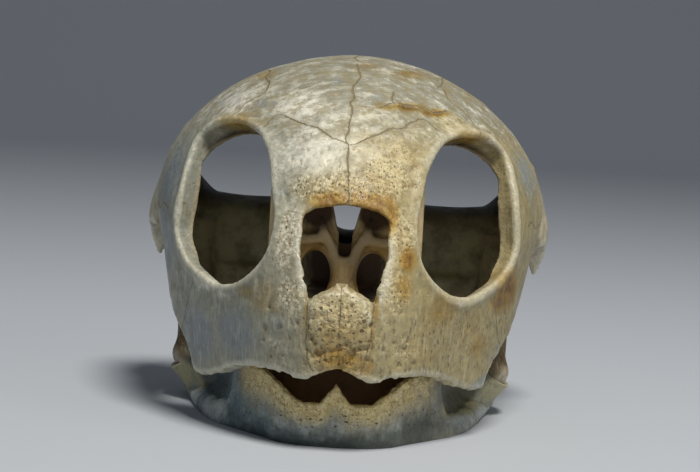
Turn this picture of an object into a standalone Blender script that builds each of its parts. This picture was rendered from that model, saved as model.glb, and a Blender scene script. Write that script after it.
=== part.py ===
"""A dried hawksbill turtle skull: the cranium, and the lower jaw that it rests on.

The skull faces -Y and stands on the lower border of its jaw at Z = 0, with X = 0 as its plane of
symmetry. Every size below is in millimetres, with y measured back from the front of the beak.
The cranium is carved as the bone is formed: a domed outer shell is hollowed, its openings are cut,
and then the bones inside it are joined to it. A fine remesh rounds all of it into one solid.
"""

import math

import bmesh
import bpy
import numpy as np
from mathutils import Vector

MM = 0.001
SKULL_LENGTH = 136.0
WALL = 3.0

# The domed outside of the skull, as upright sections from the beak backwards:
# y, half width, height of the widest point, roof height, half width of the cheek at its foot.
DOME = (
    (0.0, 3.0, 23.5, 29.5, 3.0),
    (0.8, 6.0, 23.5, 32.8, 5.8),
    (2.5, 9.0, 23.7, 37.5, 8.6),
    (6.0, 13.4, 24.4, 45.2, 12.8),
    (10.0, 17.4, 26.0, 52.2, 16.4),
    (15.0, 21.7, 28.0, 59.0, 20.4),
    (21.0, 26.2, 31.0, 65.4, 24.4),
    (28.0, 31.0, 34.5, 70.8, 28.8),
    (36.0, 35.8, 38.5, 75.4, 33.0),
    (45.0, 40.0, 42.0, 79.0, 36.2),
    (55.0, 43.0, 44.0, 81.4, 36.8),
    (66.0, 45.0, 46.0, 82.4, 36.6),
    (78.0, 45.8, 47.0, 81.4, 36.6),
    (90.0, 45.0, 47.0, 78.8, 37.0),
    (104.0, 41.5, 46.0, 74.2, 37.0),
    (114.0, 37.0, 47.0, 70.0, 34.0),
)
FOOT = 10.0
DOME_POINTS = 15
ROOF_POWER = 1.97

# The rim of the left orbit, seen from the front: x, z from its inner corner over the top.
ORBIT_RIM = (
    (16.0, 53.5), (16.5, 57.2), (17.5, 61.0), (20.0, 64.8), (23.5, 66.7), (27.5, 66.9), (31.2, 65.6),
    (34.2, 62.8), (35.8, 59.0), (36.6, 55.0), (37.2, 50.5), (37.7, 46.0), (37.8, 42.0), (36.8, 38.4),
    (34.5, 35.3), (31.0, 33.2), (27.5, 31.8), (23.8, 32.2), (20.4, 34.4), (17.6, 37.6), (15.8, 41.5),
    (15.0, 46.0), (15.2, 49.6),
)
ORBIT_AXIS = (0.72, -0.66, 0.22)

# The nostril, seen from the front: x, z from the middle of its floor round one side to its top.
NOSTRIL = (
    (0.0, 35.0), (0.9, 35.2), (3.0, 33.6), (5.4, 32.2), (6.9, 31.4), (7.5, 33.2), (8.4, 37.6), (9.2, 41.6),
    (9.0, 45.0), (8.9, 48.0), (7.6, 49.4), (5.9, 50.1), (2.0, 50.9), (0.0, 51.0),
)
NOSTRIL_DEPTH = 15.0

# The lower margin of the face and cheek, seen from the side: y, z.
LOWER_MARGIN = (
    (-6.0, 15.0), (2.0, 15.0), (4.0, 15.5), (6.5, 16.1), (9.0, 16.3), (12.5, 16.0), (16.0, 15.3),
    (20.0, 13.9), (25.0, 12.3), (29.0, 11.3), (32.0, 10.8), (33.8, 11.2), (35.2, 13.4), (37.0, 15.8),
    (40.0, 19.0), (44.0, 21.6), (50.0, 23.4), (57.0, 24.4), (63.0, 24.4), (67.0, 23.4), (70.0, 24.4),
    (73.0, 29.0), (76.0, 33.0), (80.0, 36.0),
    (90.0, 41.0), (98.0, 46.0), (108.0, 50.0), (124.0, 52.0),
)
# The notch in the middle of the beak's edge.
BEAK_NOTCH_HALF_WIDTH = 7.5
BEAK_NOTCH_HEIGHT = 3.4
BEAK_NOTCH_FOOT_Z = 14.4
BEAK_NOTCH_POWER = 1.3

# The hind margin of the roof, seen from above: x, y.
HIND_MARGIN = (
    (0.0, 97.0), (6.0, 92.0), (14.0, 88.0), (24.0, 88.5), (33.0, 94.0), (39.0, 101.0), (42.5, 104.0),
    (45.0, 103.0), (60.0, 98.0),
)

# The lower jaw from the middle of the chin to its hind end, as cross-sections: x, y of the outer lower
# border, the way the section faces in degrees, how far the upper edge leans out, its height, width of
# the chewing shelf, height of its inner edge and of its trough, thickness below, height of the lower
# border, depth of the side's hollow.
JAW = (
    (0.0, 10.0, -90.0, 4.0, 9.6, 16.0, 15.4, 9.4, 12.0, -0.5, 0.0),
    (6.0, 10.4, -80.0, 3.6, 9.6, 15.0, 15.0, 7.4, 11.0, -0.5, 0.0),
    (11.3, 12.8, -58.0, 2.4, 13.0, 11.5, 14.2, 8.6, 7.5, -0.5, 0.0),
    (15.4, 18.0, -42.0, 1.2, 14.8, 8.0, 13.6, 10.4, 5.4, -0.5, 0.0),
    (20.9, 25.0, -33.0, -1.0, 15.6, 6.6, 13.8, 11.8, 6.0, -0.5, 0.3),
    (26.6, 33.4, -28.0, -2.6, 16.2, 5.6, 14.6, 13.3, 7.4, -0.5, 1.0),
    (30.2, 42.9, -24.0, -2.0, 18.6, 5.4, 18.0, 16.7, 7.6, -0.5, 3.5),
    (32.2, 51.5, -20.0, -0.6, 17.2, 5.0, 16.6, 15.3, 7.0, -0.5, 4.0),
    (33.7, 59.8, -16.0, 2.3, 10.0, 7.0, 9.6, 8.3, 6.3, -0.5, 2.8),
    (34.6, 66.5, -8.0, 5.2, 7.5, 10.2, 7.3, 6.0, 6.4, -0.5, 0.8),
    (35.4, 72.0, -2.0, 4.6, 7.4, 9.6, 7.1, 5.8, 6.4, -0.3, 0.3),
    (35.6, 76.5, 4.0, 2.6, 7.0, 6.0, 6.8, 5.5, 4.2, 2.4, 0.0),
)
# The spike in the middle of the lower jaw: y, z and half sizes, upwards.
JAW_SPIKE = ((9.5, 5.0, 3.2, 3.0), (8.4, 9.0, 2.4, 2.2), (7.4, 11.4, 1.3, 1.3), (7.0, 13.3, 0.6, 0.6))

CRANIUM_VOXEL = 1.2
CRANIUM_KEEP = 0.075
JAW_VOXEL = 0.9
JAW_KEEP = 0.11


def place(x, y, z):
    """A point in millimetres, y from the beak, as a point of the part in metres."""
    return Vector((x, y - SKULL_LENGTH / 2, z)) * MM


def clear_scene():
    for old in list(bpy.data.objects):
        bpy.data.objects.remove(old)


def curve_through(knots, values):
    """A smooth curve through the values that doesn't overshoot them (monotone cubic)."""
    x, v = np.array(knots, float), np.array(values, float)
    step, slope = np.diff(x), np.diff(v) / np.diff(x)
    same_way = slope[1:] * slope[:-1] > 0
    inner = np.where(same_way, 2 / (1 / (slope[1:] + 1e-12) + 1 / (slope[:-1] + 1e-12)), 0)
    tangent = np.concatenate([slope[:1], inner, slope[-1:]])

    def at(wanted):
        wanted = np.clip(np.asarray(wanted, float), x[0], x[-1])
        i = np.clip(np.searchsorted(x, wanted) - 1, 0, len(x) - 2)
        t = (wanted - x[i]) / step[i]
        return (
            (1 + 2 * t) * (1 - t) ** 2 * v[i]
            + t * (1 - t) ** 2 * step[i] * tangent[i]
            + t * t * (3 - 2 * t) * v[i + 1]
            + t * t * (t - 1) * step[i] * tangent[i + 1]
        )

    return at


def new_object(name, mesh_builder, helper=True):
    """An object from a bmesh, with its normals outwards. A helper only cuts, joins or bounds others."""
    mesh = bpy.data.meshes.new(name)
    bmesh.ops.recalc_face_normals(mesh_builder, faces=mesh_builder.faces)
    mesh_builder.to_mesh(mesh)
    mesh_builder.free()
    made = bpy.data.objects.new(name, mesh)
    bpy.context.scene.collection.objects.link(made)
    if helper:
        made.hide_render = True
        made.display_type = "WIRE"
    return made


def loft(name, rings, helper=True):
    """A closed skin over rings of equally many points, capped at both ends."""
    builder = bmesh.new()
    corners = [[builder.verts.new(place(*point)) for point in ring] for ring in rings]
    count = len(rings[0])
    for lower, upper in zip(corners, corners[1:]):
        for i in range(count):
            j = (i + 1) % count
            builder.faces.new((lower[i], lower[j], upper[j], upper[i]))
    builder.faces.new(corners[0])
    builder.faces.new(corners[-1][::-1])
    return new_object(name, builder, helper)


def prism(name, outline, at_low, at_high):
    """A solid between two copies of an outline, where each copy comes from a function of its points."""
    return loft(name, [[at_low(*p) for p in outline], [at_high(*p) for p in outline]])


def ellipse_ring(centre, across, along, power=2.0, points=20):
    """A ring of points round centre, on a superellipse with the two given half axes."""
    ring = []
    for i in range(points):
        angle = 2 * math.pi * i / points
        c, s = math.cos(angle), math.sin(angle)
        u = math.copysign(abs(c) ** (2 / power), c)
        v = math.copysign(abs(s) ** (2 / power), s)
        ring.append(tuple(centre[k] + u * across[k] + v * along[k] for k in range(3)))
    return ring


def mirrored(made):
    """Adds the same solid on the other side of the skull."""
    mirror = made.modifiers.new("Other side", "MIRROR")
    mirror.use_mirror_merge = False
    return made


def boolean(target, operation, tool):
    modifier = target.modifiers.new(tool.name, "BOOLEAN")
    modifier.operation = operation
    modifier.solver = "EXACT"
    modifier.object = tool


def cut(target, *tools):
    for tool in tools:
        boolean(target, "DIFFERENCE", tool)


def join(target, *tools):
    for tool in tools:
        boolean(target, "UNION", tool)


def dome_profile(y):
    """Half width, height of the widest point, roof height and half width at the foot."""
    rows = [row[0] for row in DOME]
    return [float(curve_through(rows, [row[k] for row in DOME])(y)) for k in (1, 2, 3, 4)]


def side_at(y, z):
    """How far the outside of the skull is from the plane of symmetry, or 0 above the roof."""
    wide, widest_z, roof_z, foot = dome_profile(y)
    if z < widest_z:
        return wide - (wide - foot) * ((widest_z - z) / (widest_z - FOOT)) ** 1.1
    height = (z - widest_z) / (roof_z - widest_z)
    return wide * (1 - min(height, 1.0) ** ROOF_POWER) ** (1 / ROOF_POWER)


def depth_of(x, z):
    """How far back from the beak the outside of the skull is at a point seen from the front."""
    near, far = 0.0, 78.0
    for _ in range(24):
        middle = (near + far) / 2
        if side_at(middle, z) > x:
            far = middle
        else:
            near = middle
    return far


def dome_rings(inset=0.0, first_y=0.0, last_y=114.0, count=34):
    """Upright sections of the dome, closer together towards the beak, taken in by inset."""
    rings = []
    for step in np.linspace(0, 1, count):
        y = first_y + (last_y - first_y) * step**1.7
        wide, widest_z, roof_z, foot = dome_profile(y)
        half = []
        for angle in np.linspace(math.pi / 2, 0, DOME_POINTS):
            x = (wide - inset) * max(math.cos(angle), 0) ** (2 / ROOF_POWER)
            z = widest_z + (roof_z - widest_z - inset) * max(math.sin(angle), 0) ** (2 / ROOF_POWER)
            half.append((x, y + inset, z))
        for z in np.linspace(widest_z, FOOT - 18, 10)[1:]:
            half.append((side_at(y, z) - inset, y + inset, z))
        half.append((0, y + inset, FOOT - 18))
        rings.append(half + [(-x, back, z) for x, back, z in half[-2:0:-1]])
    return rings


def slab(name, low_corner, high_corner):
    (x0, y0, z0), (x1, y1, z1) = low_corner, high_corner
    outline = ((x0, y0), (x1, y0), (x1, y1), (x0, y1))
    return prism(name, outline, lambda x, y: (x, y, z0), lambda x, y: (x, y, z1))


def within_dome(made, dome):
    """Ends the piece in the middle of the skull's wall."""
    boolean(made, "INTERSECT", dome)
    return made


def along_orbit(name, stops):
    """A solid along the orbit's axis. Each stop is a depth along the axis and a scale of the rim."""
    axis = Vector(ORBIT_AXIS).normalized()
    rim = [Vector((x, depth_of(x, z), z)) for x, z in ORBIT_RIM]
    centre = sum(rim, Vector()) / len(rim)
    rings = []
    for depth, scale in stops:
        flat = [point - axis * axis.dot(point - centre) for point in rim]
        rings.append([centre + (point - centre) * scale + axis * depth for point in flat])
    return mirrored(loft(name, rings))


def nostril_cutter():
    half = list(NOSTRIL)
    outline = half + [(-x, z) for x, z in half[-2:0:-1]]
    return prism(
        "nostril cutter", outline, lambda x, z: (x, -6.0, z), lambda x, z: (x, NOSTRIL_DEPTH, z)
    )


def margin_cutters():
    below = list(LOWER_MARGIN) + [(124.0, -30.0), (-6.0, -30.0)]
    lower = prism("lower margin cutter", below, lambda y, z: (-70, y, z), lambda y, z: (70, y, z))
    half = list(HIND_MARGIN)
    behind = half + [(60.0, 160.0), (-60.0, 160.0)] + [(-x, y) for x, y in half[:0:-1]]
    hind = prism("hind margin cutter", behind, lambda x, y: (x, y, -30), lambda x, y: (x, y, 120))
    across, up = (BEAK_NOTCH_HALF_WIDTH, 0, 0), (0, 0, BEAK_NOTCH_HEIGHT)
    notch = loft(
        "beak notch cutter",
        [ellipse_ring((0, y, BEAK_NOTCH_FOOT_Z), across, up, BEAK_NOTCH_POWER) for y in (-6.0, 9.0)],
    )
    return lower, hind, notch


def palate(dome):
    """The shelf behind the beak, its thick front, and the plate of the pterygoid bones behind it."""
    half = ((0, -2), (45, -2), (45, 50), (33, 46), (26, 41), (15, 36), (9, 31), (0, 31))
    outline = list(half) + [(-x, y) for x, y in half[-2:0:-1]]
    shelf = prism(
        "palate shelf",
        outline,
        lambda x, y: (x, y, 21.5 - 0.10 * y + 0.05 * abs(x)),
        lambda x, y: (x, y, 27.0 - 0.06 * y + 0.05 * abs(x)),
    )
    front = slab("beak core", (-8.5, -1, 18), (8.5, 7.5, 30.5))
    half = (
        (6, 28), (6, 38), (13, 42), (14.5, 46), (10.5, 52), (8.5, 60), (11, 69), (20, 75), (31, 76),
        (33, 82), (20, 88), (13, 94), (10, 102), (6, 106),
    )
    outline = list(half) + [(-x, y) for x, y in half[::-1]]
    plate = prism(
        "pterygoid plate",
        outline,
        lambda x, y: (x, y, 22.0 + 0.03 * y),
        lambda x, y: (x, y, 26.5 + 0.05 * y),
    )
    swelling = loft(
        "beak swelling",
        [
            ellipse_ring((0, y, z), (wide, 0, 0), (0, 0, tall))
            for y, z, wide, tall in (
                (-0.6, 24.5, 1.6, 2.6), (-0.3, 24.5, 3.6, 5.2), (0.4, 24.5, 5.4, 7.6),
                (1.6, 24.3, 6.4, 9.0), (4.5, 24.0, 6.6, 9.4), (7.0, 24.0, 5.0, 7.0),
            )
        ],
    )
    return within_dome(shelf, dome), within_dome(front, dome), plate, swelling


def nasal_wall(dome):
    """The wall behind the nostril, with a keyhole slot and the two nasal passages through it."""
    wall = within_dome(slab("nasal wall", (-16.5, 18.5, 24), (16.5, 22.5, 66)), dome)
    keyhole = prism(
        "keyhole cutter",
        (
            (-1.5, 39.5), (1.5, 39.5), (1.6, 46.0), (2.9, 50.5),
            (3.0, 57), (-3.0, 57), (-2.9, 50.5), (-1.6, 46.0),
        ),
        lambda x, z: (x, 17.0, z),
        lambda x, z: (x, 30, z),
    )
    passage = mirrored(
        loft(
            "passage cutter",
            [
                ellipse_ring((6.2, 12, 36.5), (3.4, 0, 0), (0, 0, 5.4)),
                ellipse_ring((6.2, 20, 35.5), (3.4, 0, 0), (0, 0, 5.4)),
                ellipse_ring((6.8, 30, 29.0), (3.6, 0, 0), (0, 0, 6.0)),
                ellipse_ring((7.2, 40, 20.0), (3.6, 0, 0), (0, 0, 6.0)),
            ],
        )
    )
    return wall, keyhole, passage


def braincase():
    outer = loft(
        "braincase",
        [
            ellipse_ring((0, y, z), (wide, 0, 0), (0, 0, tall), 2.4)
            for y, z, wide, tall in (
                (42, 47.5, 5.5, 9.5), (52, 45, 7.5, 13), (64, 42, 9.5, 16), (78, 40, 12, 16),
                (92, 39, 13, 14), (100, 40, 11, 11.5), (105.5, 41, 8.8, 9.5),
            )
        ],
    )
    walls = loft(
        "parietal walls",
        [
            [(-w, y, 48), (w, y, 48), (w, y, top - 8), (w + 4, y, top), (-w - 4, y, top), (-w, y, top - 8)]
            for y, w, top in ((48, 2.0, 78.0), (66, 2.4, 80.5), (84, 2.4, 78.0), (96, 2.0, 75.0))
        ],
    )
    cavity = loft(
        "brain cutter",
        [
            ellipse_ring((0, y, z), (wide, 0, 0), (0, 0, tall), 2.2)
            for y, z, wide, tall in (
                (34, 49, 3.8, 6.5), (48, 47.5, 4.6, 8), (66, 46, 6.5, 8.5), (86, 44.8, 7, 7.0),
                (99, 43.9, 5.2, 4.7), (116, 43.0, 5.4, 4.7),
            )
        ],
    )
    return outer, walls, cavity


def ear_region():
    """The block from the braincase out to the cheek, and the quadrate that carries the jaw."""
    block = mirrored(
        loft(
            "ear block",
            [
                ellipse_ring((x, y, z), (0, ry, 0), (0, 0, rz), 2.6)
                for x, y, z, ry, rz in (
                    (5, 86, 37, 11, 11), (14, 86, 37.5, 10, 10), (24, 86, 38, 8.5, 9.2),
                    (32, 85, 38, 9, 9.8), (38, 84, 40, 9.5, 13), (42.5, 84, 44, 9, 14),
                )
            ],
        )
    )
    quadrate = mirrored(
        loft(
            "quadrate",
            [
                ellipse_ring((x, y, z), (rx, 0, 0), (0, ry, 0), 2.3)
                for x, y, z, rx, ry in (
                    (36.5, 80, 42, 5.5, 9), (36.2, 76.5, 31, 4.4, 8), (35.4, 71, 21.5, 3.8, 6),
                    (34.8, 67, 14.5, 4.0, 4.6), (34.4, 65.2, 10.6, 5.2, 4.3), (34.4, 65, 8.3, 4.6, 3.4),
                )
            ],
        )
    )
    ear = mirrored(
        loft(
            "ear cutter",
            [
                ellipse_ring((x, y, z), (0, r, 0), (0, 0, r * 1.05), 2.0)
                for x, y, z, r in ((33.5, 81, 33, 3.0), (38, 80.5, 32.5, 5.5), (52, 80, 31.5, 8.5))
            ],
        )
    )
    flange = mirrored(
        loft(
            "squamosal flange",
            [
                ellipse_ring((x, y, z), (rx, 0, 0), (0, ry, 0), 2.0, 16)
                for x, y, z, rx, ry in (
                    (42.4, 88, 58, 1.4, 7), (44.3, 87, 50, 2.4, 10), (45.8, 85.5, 43, 2.7, 9.5),
                    (46.0, 84.5, 37, 2.5, 6.5), (46.0, 84, 31, 2.0, 4.2), (46.0, 84, 27.4, 1.6, 2.6),
                    (46.0, 84, 25.4, 1.0, 1.4),
                )
            ],
        )
    )
    return block, quadrate, ear, flange


def hind_head():
    """The upright crest over the neck, and the knob that met the first neck bone."""
    crest = prism(
        "crest",
        (
            (84, 77), (98, 74.6), (112, 71.0), (125, 66.2), (134, 61.2), (136.6, 58.6), (134, 57.0),
            (124, 59.6), (114, 59.5), (107, 55.5), (103, 48.5), (92, 50.0), (84, 62),
        ),
        lambda y, z: (-1.8, y, z),
        lambda y, z: (1.8, y, z),
    )
    condyle = loft(
        "condyle",
        [
            ellipse_ring((0, y, 34.2), (r, 0, 0), (0, 0, r * 0.86))
            for y, r in ((98, 3.4), (102, 4.2), (105.5, 5.0), (108.2, 4.6), (110.2, 2.8))
        ],
    )
    return crest, condyle


def jaw_section(row):
    """One cross-section of the lower jaw, from its inner lower corner round to its inner side."""
    x, y, turn, lean, high, shelf, shelf_z, trough_z, thick, low, dish = row
    tall = high - low
    outline = (
        (-thick, low + 1.2),
        (-thick + 1.0, low),
        (-0.6, low),
        (0.2 * lean + 0.2, low + 1.4 + 0.45 * dish),
        (0.5 * lean - dish, low + 0.45 * tall),
        (0.85 * lean - 0.7 * dish, low + 0.75 * tall),
        (lean, high - 0.6),
        (lean - 0.7, high),
        (lean - 1.8, high - 0.4),
        (lean - 0.55 * shelf, trough_z),
        (lean - shelf, shelf_z),
        (lean - shelf - 0.3, shelf_z - 1.8),
        (-thick, low + 0.45 * tall),
    )
    angle = math.radians(turn)
    return [(x + out * math.cos(angle), y + out * math.sin(angle), z) for out, z in outline]


def jaw_rings(count=26):
    knots = np.arange(len(JAW))
    columns = [curve_through(knots, [row[k] for row in JAW]) for k in range(len(JAW[0]))]
    stations = np.linspace(0, knots[-1], count)
    side = [jaw_section([float(column(at)) for column in columns]) for at in stations]
    other_side = [[(-x, y, z) for x, y, z in ring] for ring in side[:0:-1]]
    return other_side + side


def round_off(made, voxel, smoothing, keep):
    """Fuses the solid on a fine grid, softens it, and thins its faces to the share kept."""
    remesh = made.modifiers.new("Fuse", "REMESH")
    remesh.mode = "VOXEL"
    remesh.voxel_size = voxel * MM
    remesh.use_smooth_shade = True
    soften = made.modifiers.new("Soften", "SMOOTH")
    soften.factor = 0.5
    soften.iterations = smoothing
    thin = made.modifiers.new("Thin", "DECIMATE")
    thin.ratio = keep


def bone_material(name, colour, roughness):
    bone = bpy.data.materials.new(name)
    bone.use_nodes = True
    shader = bone.node_tree.nodes["Principled BSDF"]
    shader.inputs["Base Color"].default_value = (*colour, 1)
    shader.inputs["Roughness"].default_value = roughness
    shader.inputs["Metallic"].default_value = 0.0
    return bone


def cranium():
    dome = loft("middle of the wall", dome_rings(inset=WALL / 2, first_y=1.5))
    skull = loft("cranium", dome_rings(), helper=False)
    hollow = loft("hollow cutter", dome_rings(inset=WALL, first_y=2.5, last_y=118.0))
    lower, hind, notch = margin_cutters()
    shelf, front, plate, swelling = palate(dome)
    wall, keyhole, passage = nasal_wall(dome)
    case, parietal, brain = braincase()
    block, quadrate, ear, flange = ear_region()
    crest, condyle = hind_head()
    brow = within_dome(along_orbit("orbit brow", ((-9.0, 1.1), (3.0, 1.1))), dome)
    boolean(brow, "INTERSECT", slab("brow limit", (-60, -10, 60), (60, 90, 90)))
    orbit_stops = ((-16.0, 0.86), (-9.0, 0.88), (-2.5, 0.97), (0.0, 1.0), (22.0, 1.0))
    orbit = along_orbit("orbit cutter", orbit_stops)
    cut(skull, hollow, lower, hind)
    join(skull, shelf, front, swelling, brow)
    cut(skull, orbit, nostril_cutter(), notch)
    join(skull, wall)
    cut(skull, keyhole)
    join(skull, plate)
    cut(skull, passage)
    join(skull, case, parietal, block, quadrate, flange, crest, condyle)
    cut(skull, ear, brain)
    round_off(skull, voxel=CRANIUM_VOXEL, smoothing=2, keep=CRANIUM_KEEP)
    skull.data.materials.append(bone_material("cranium bone", (0.62, 0.54, 0.40), 0.62))
    return skull


def mandible():
    jaw = loft("mandible", jaw_rings(), helper=False)
    spike = loft(
        "jaw spike",
        [ellipse_ring((0, y, z), (rx, 0, 0), (0, ry, 0)) for y, z, rx, ry in JAW_SPIKE],
    )
    join(jaw, spike)
    round_off(jaw, voxel=JAW_VOXEL, smoothing=2, keep=JAW_KEEP)
    cut(jaw, slab("ground cutter", (-60, -10, -20), (60, 150, 0)))
    jaw.data.materials.append(bone_material("jaw bone", (0.55, 0.48, 0.36), 0.66))
    return jaw


def main():
    clear_scene()
    cranium()
    mandible()


main()
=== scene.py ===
# Dried turtle skull on a pale studio floor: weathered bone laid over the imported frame.
import math
import bpy
import numpy as np
from mathutils import Matrix, Vector


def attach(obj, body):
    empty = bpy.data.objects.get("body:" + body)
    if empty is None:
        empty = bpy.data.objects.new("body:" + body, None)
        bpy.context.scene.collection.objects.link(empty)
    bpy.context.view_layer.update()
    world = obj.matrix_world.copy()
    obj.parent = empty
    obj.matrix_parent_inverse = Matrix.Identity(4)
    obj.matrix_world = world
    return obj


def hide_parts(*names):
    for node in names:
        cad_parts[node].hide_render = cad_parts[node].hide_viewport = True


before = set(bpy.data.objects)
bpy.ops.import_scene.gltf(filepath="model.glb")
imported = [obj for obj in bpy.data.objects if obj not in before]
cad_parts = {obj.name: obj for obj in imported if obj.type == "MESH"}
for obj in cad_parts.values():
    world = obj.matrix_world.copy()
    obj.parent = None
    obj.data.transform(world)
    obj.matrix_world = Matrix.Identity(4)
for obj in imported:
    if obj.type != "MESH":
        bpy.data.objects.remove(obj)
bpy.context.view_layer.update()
print("frame loaded:", ", ".join(sorted(str(name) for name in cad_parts)))

# Lengths below are millimetres, with y measured back from the front of the beak.
millimetre = 0.001
skullLength = 136.0
corners = [(i, j, k) for i in (0, 1) for j in (0, 1) for k in (0, 1)]


# Lines, outlines and soft joins.
def curvesThrough(table, wanted):
    # monotone cubics through the columns of a table whose first column is the place: between two rows a
    # value follows a cubic whose end slopes are harmonic means
    x, *columns = np.array(table, float).T
    wanted = np.clip(np.asarray(wanted, float), x[0], x[-1])
    i = np.clip(np.searchsorted(x, wanted) - 1, 0, len(x) - 2)
    step = np.diff(x)
    t = (wanted - x[i]) / step[i]
    found = []
    for v in columns:
        slope = np.diff(v) / step
        same = slope[1:] * slope[:-1] > 0
        inner = np.where(same, 2 / (1 / (slope[1:] + 1e-12) + 1 / (slope[:-1] + 1e-12)), 0)
        tangent = np.concatenate([slope[:1], inner, slope[-1:]])
        found.append(
            (1 + 2 * t) * (1 - t) ** 2 * v[i] + t * (1 - t) ** 2 * step[i] * tangent[i]
            + t * t * (3 - 2 * t) * v[i + 1] + t * t * (t - 1) * step[i] * tangent[i + 1]
        )
    return found


def smoothLine(points, between=6, closed=False):
    # Catmull-Rom curve: each stretch is the cubic set by its two ends and the points beside them
    p = np.array(points, float)
    if closed:
        p = np.concatenate([p[-1:], p, p[:2]])
    else:
        p = np.concatenate([2 * p[:1] - p[1:2], p, 2 * p[-1:] - p[-2:-1]])
    t = np.linspace(0, 1, between, endpoint=False)[None, :, None]
    a, b, c, d = (p[k:len(p) - 3 + k][:, None, :] for k in range(4))
    line = 0.5 * (2 * b + (c - a) * t + (2 * a - 5 * b + 4 * c - d) * t**2 + (3 * b - a - 3 * c + d) * t**3)
    line = line.reshape(-1, p.shape[1])
    return line if closed else np.concatenate([line, p[-2:-1]])


def outlineDistance(a, b, outline):
    # least distance to the outline's edges, negative inside (an odd number of edges to one side)
    points = np.array(outline, float)
    shape = np.broadcast(a, b).shape
    nearest, inside = np.full(shape, 1e9), np.zeros(shape, bool)
    for (a0, b0), (a1, b1) in zip(points, np.roll(points, -1, axis=0)):
        da, db = a1 - a0, b1 - b0
        if da == 0 and db == 0:
            continue
        t = np.clip(((a - a0) * da + (b - b0) * db) / (da * da + db * db), 0, 1)
        nearest = np.minimum(nearest, (a - a0 - t * da) ** 2 + (b - b0 - t * db) ** 2)
        if db != 0:
            inside ^= ((b0 > b) != (b1 > b)) & (a < a0 + (b - b0) * da / db)
    return (np.where(inside, -1, 1) * np.sqrt(nearest)).astype(np.float32)


def bothSides(half):
    # an outline that starts and ends on the middle plane, with its mirror image added
    half = [tuple(p) for p in half]
    return half + [(-x, y) for x, y in half[-2:0:-1]]


def softMin(a, b, soft):
    # the smaller of two distances, rounded where they are closer together than soft
    h = np.maximum(soft - np.abs(a - b), 0) / soft
    return np.minimum(a, b) - h * h * soft / 4


def softMax(a, b, soft):
    return -softMin(-a, -b, soft)


def ramp(value, low, high):
    # 0 below low, 1 above high, smoothstep between them
    t = np.clip((value - low) / (high - low), 0, 1)
    return t * t * (3 - 2 * t)


def blended(values, cell, part, mask=-1):
    # the values at the eight corners of each cell, each weighted by how near it is
    total = 0
    for corner in corners:
        weight = 1
        for side, share in zip(corner, part):
            weight = weight * (share if side else 1 - share)
        total = total + weight * values[tuple((low + side) & mask for low, side in zip(cell, corner))]
    return total


def unevenness(x, y, z, size, seed):
    # random values on a cubic lattice, blended by smoothstep: from -1 to 1, one bump per size
    table = np.random.default_rng(seed).uniform(-1, 1, (32, 32, 32)).astype(np.float32)
    cell, part = [], []
    for value in (x, y, z):
        place = np.asarray(value, np.float32) / size + 64
        low = np.floor(place)
        f = place - low
        cell.append(low.astype(np.int32))
        part.append(f * f * (3 - 2 * f))
    return blended(table, cell, part, len(table) - 1)


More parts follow.
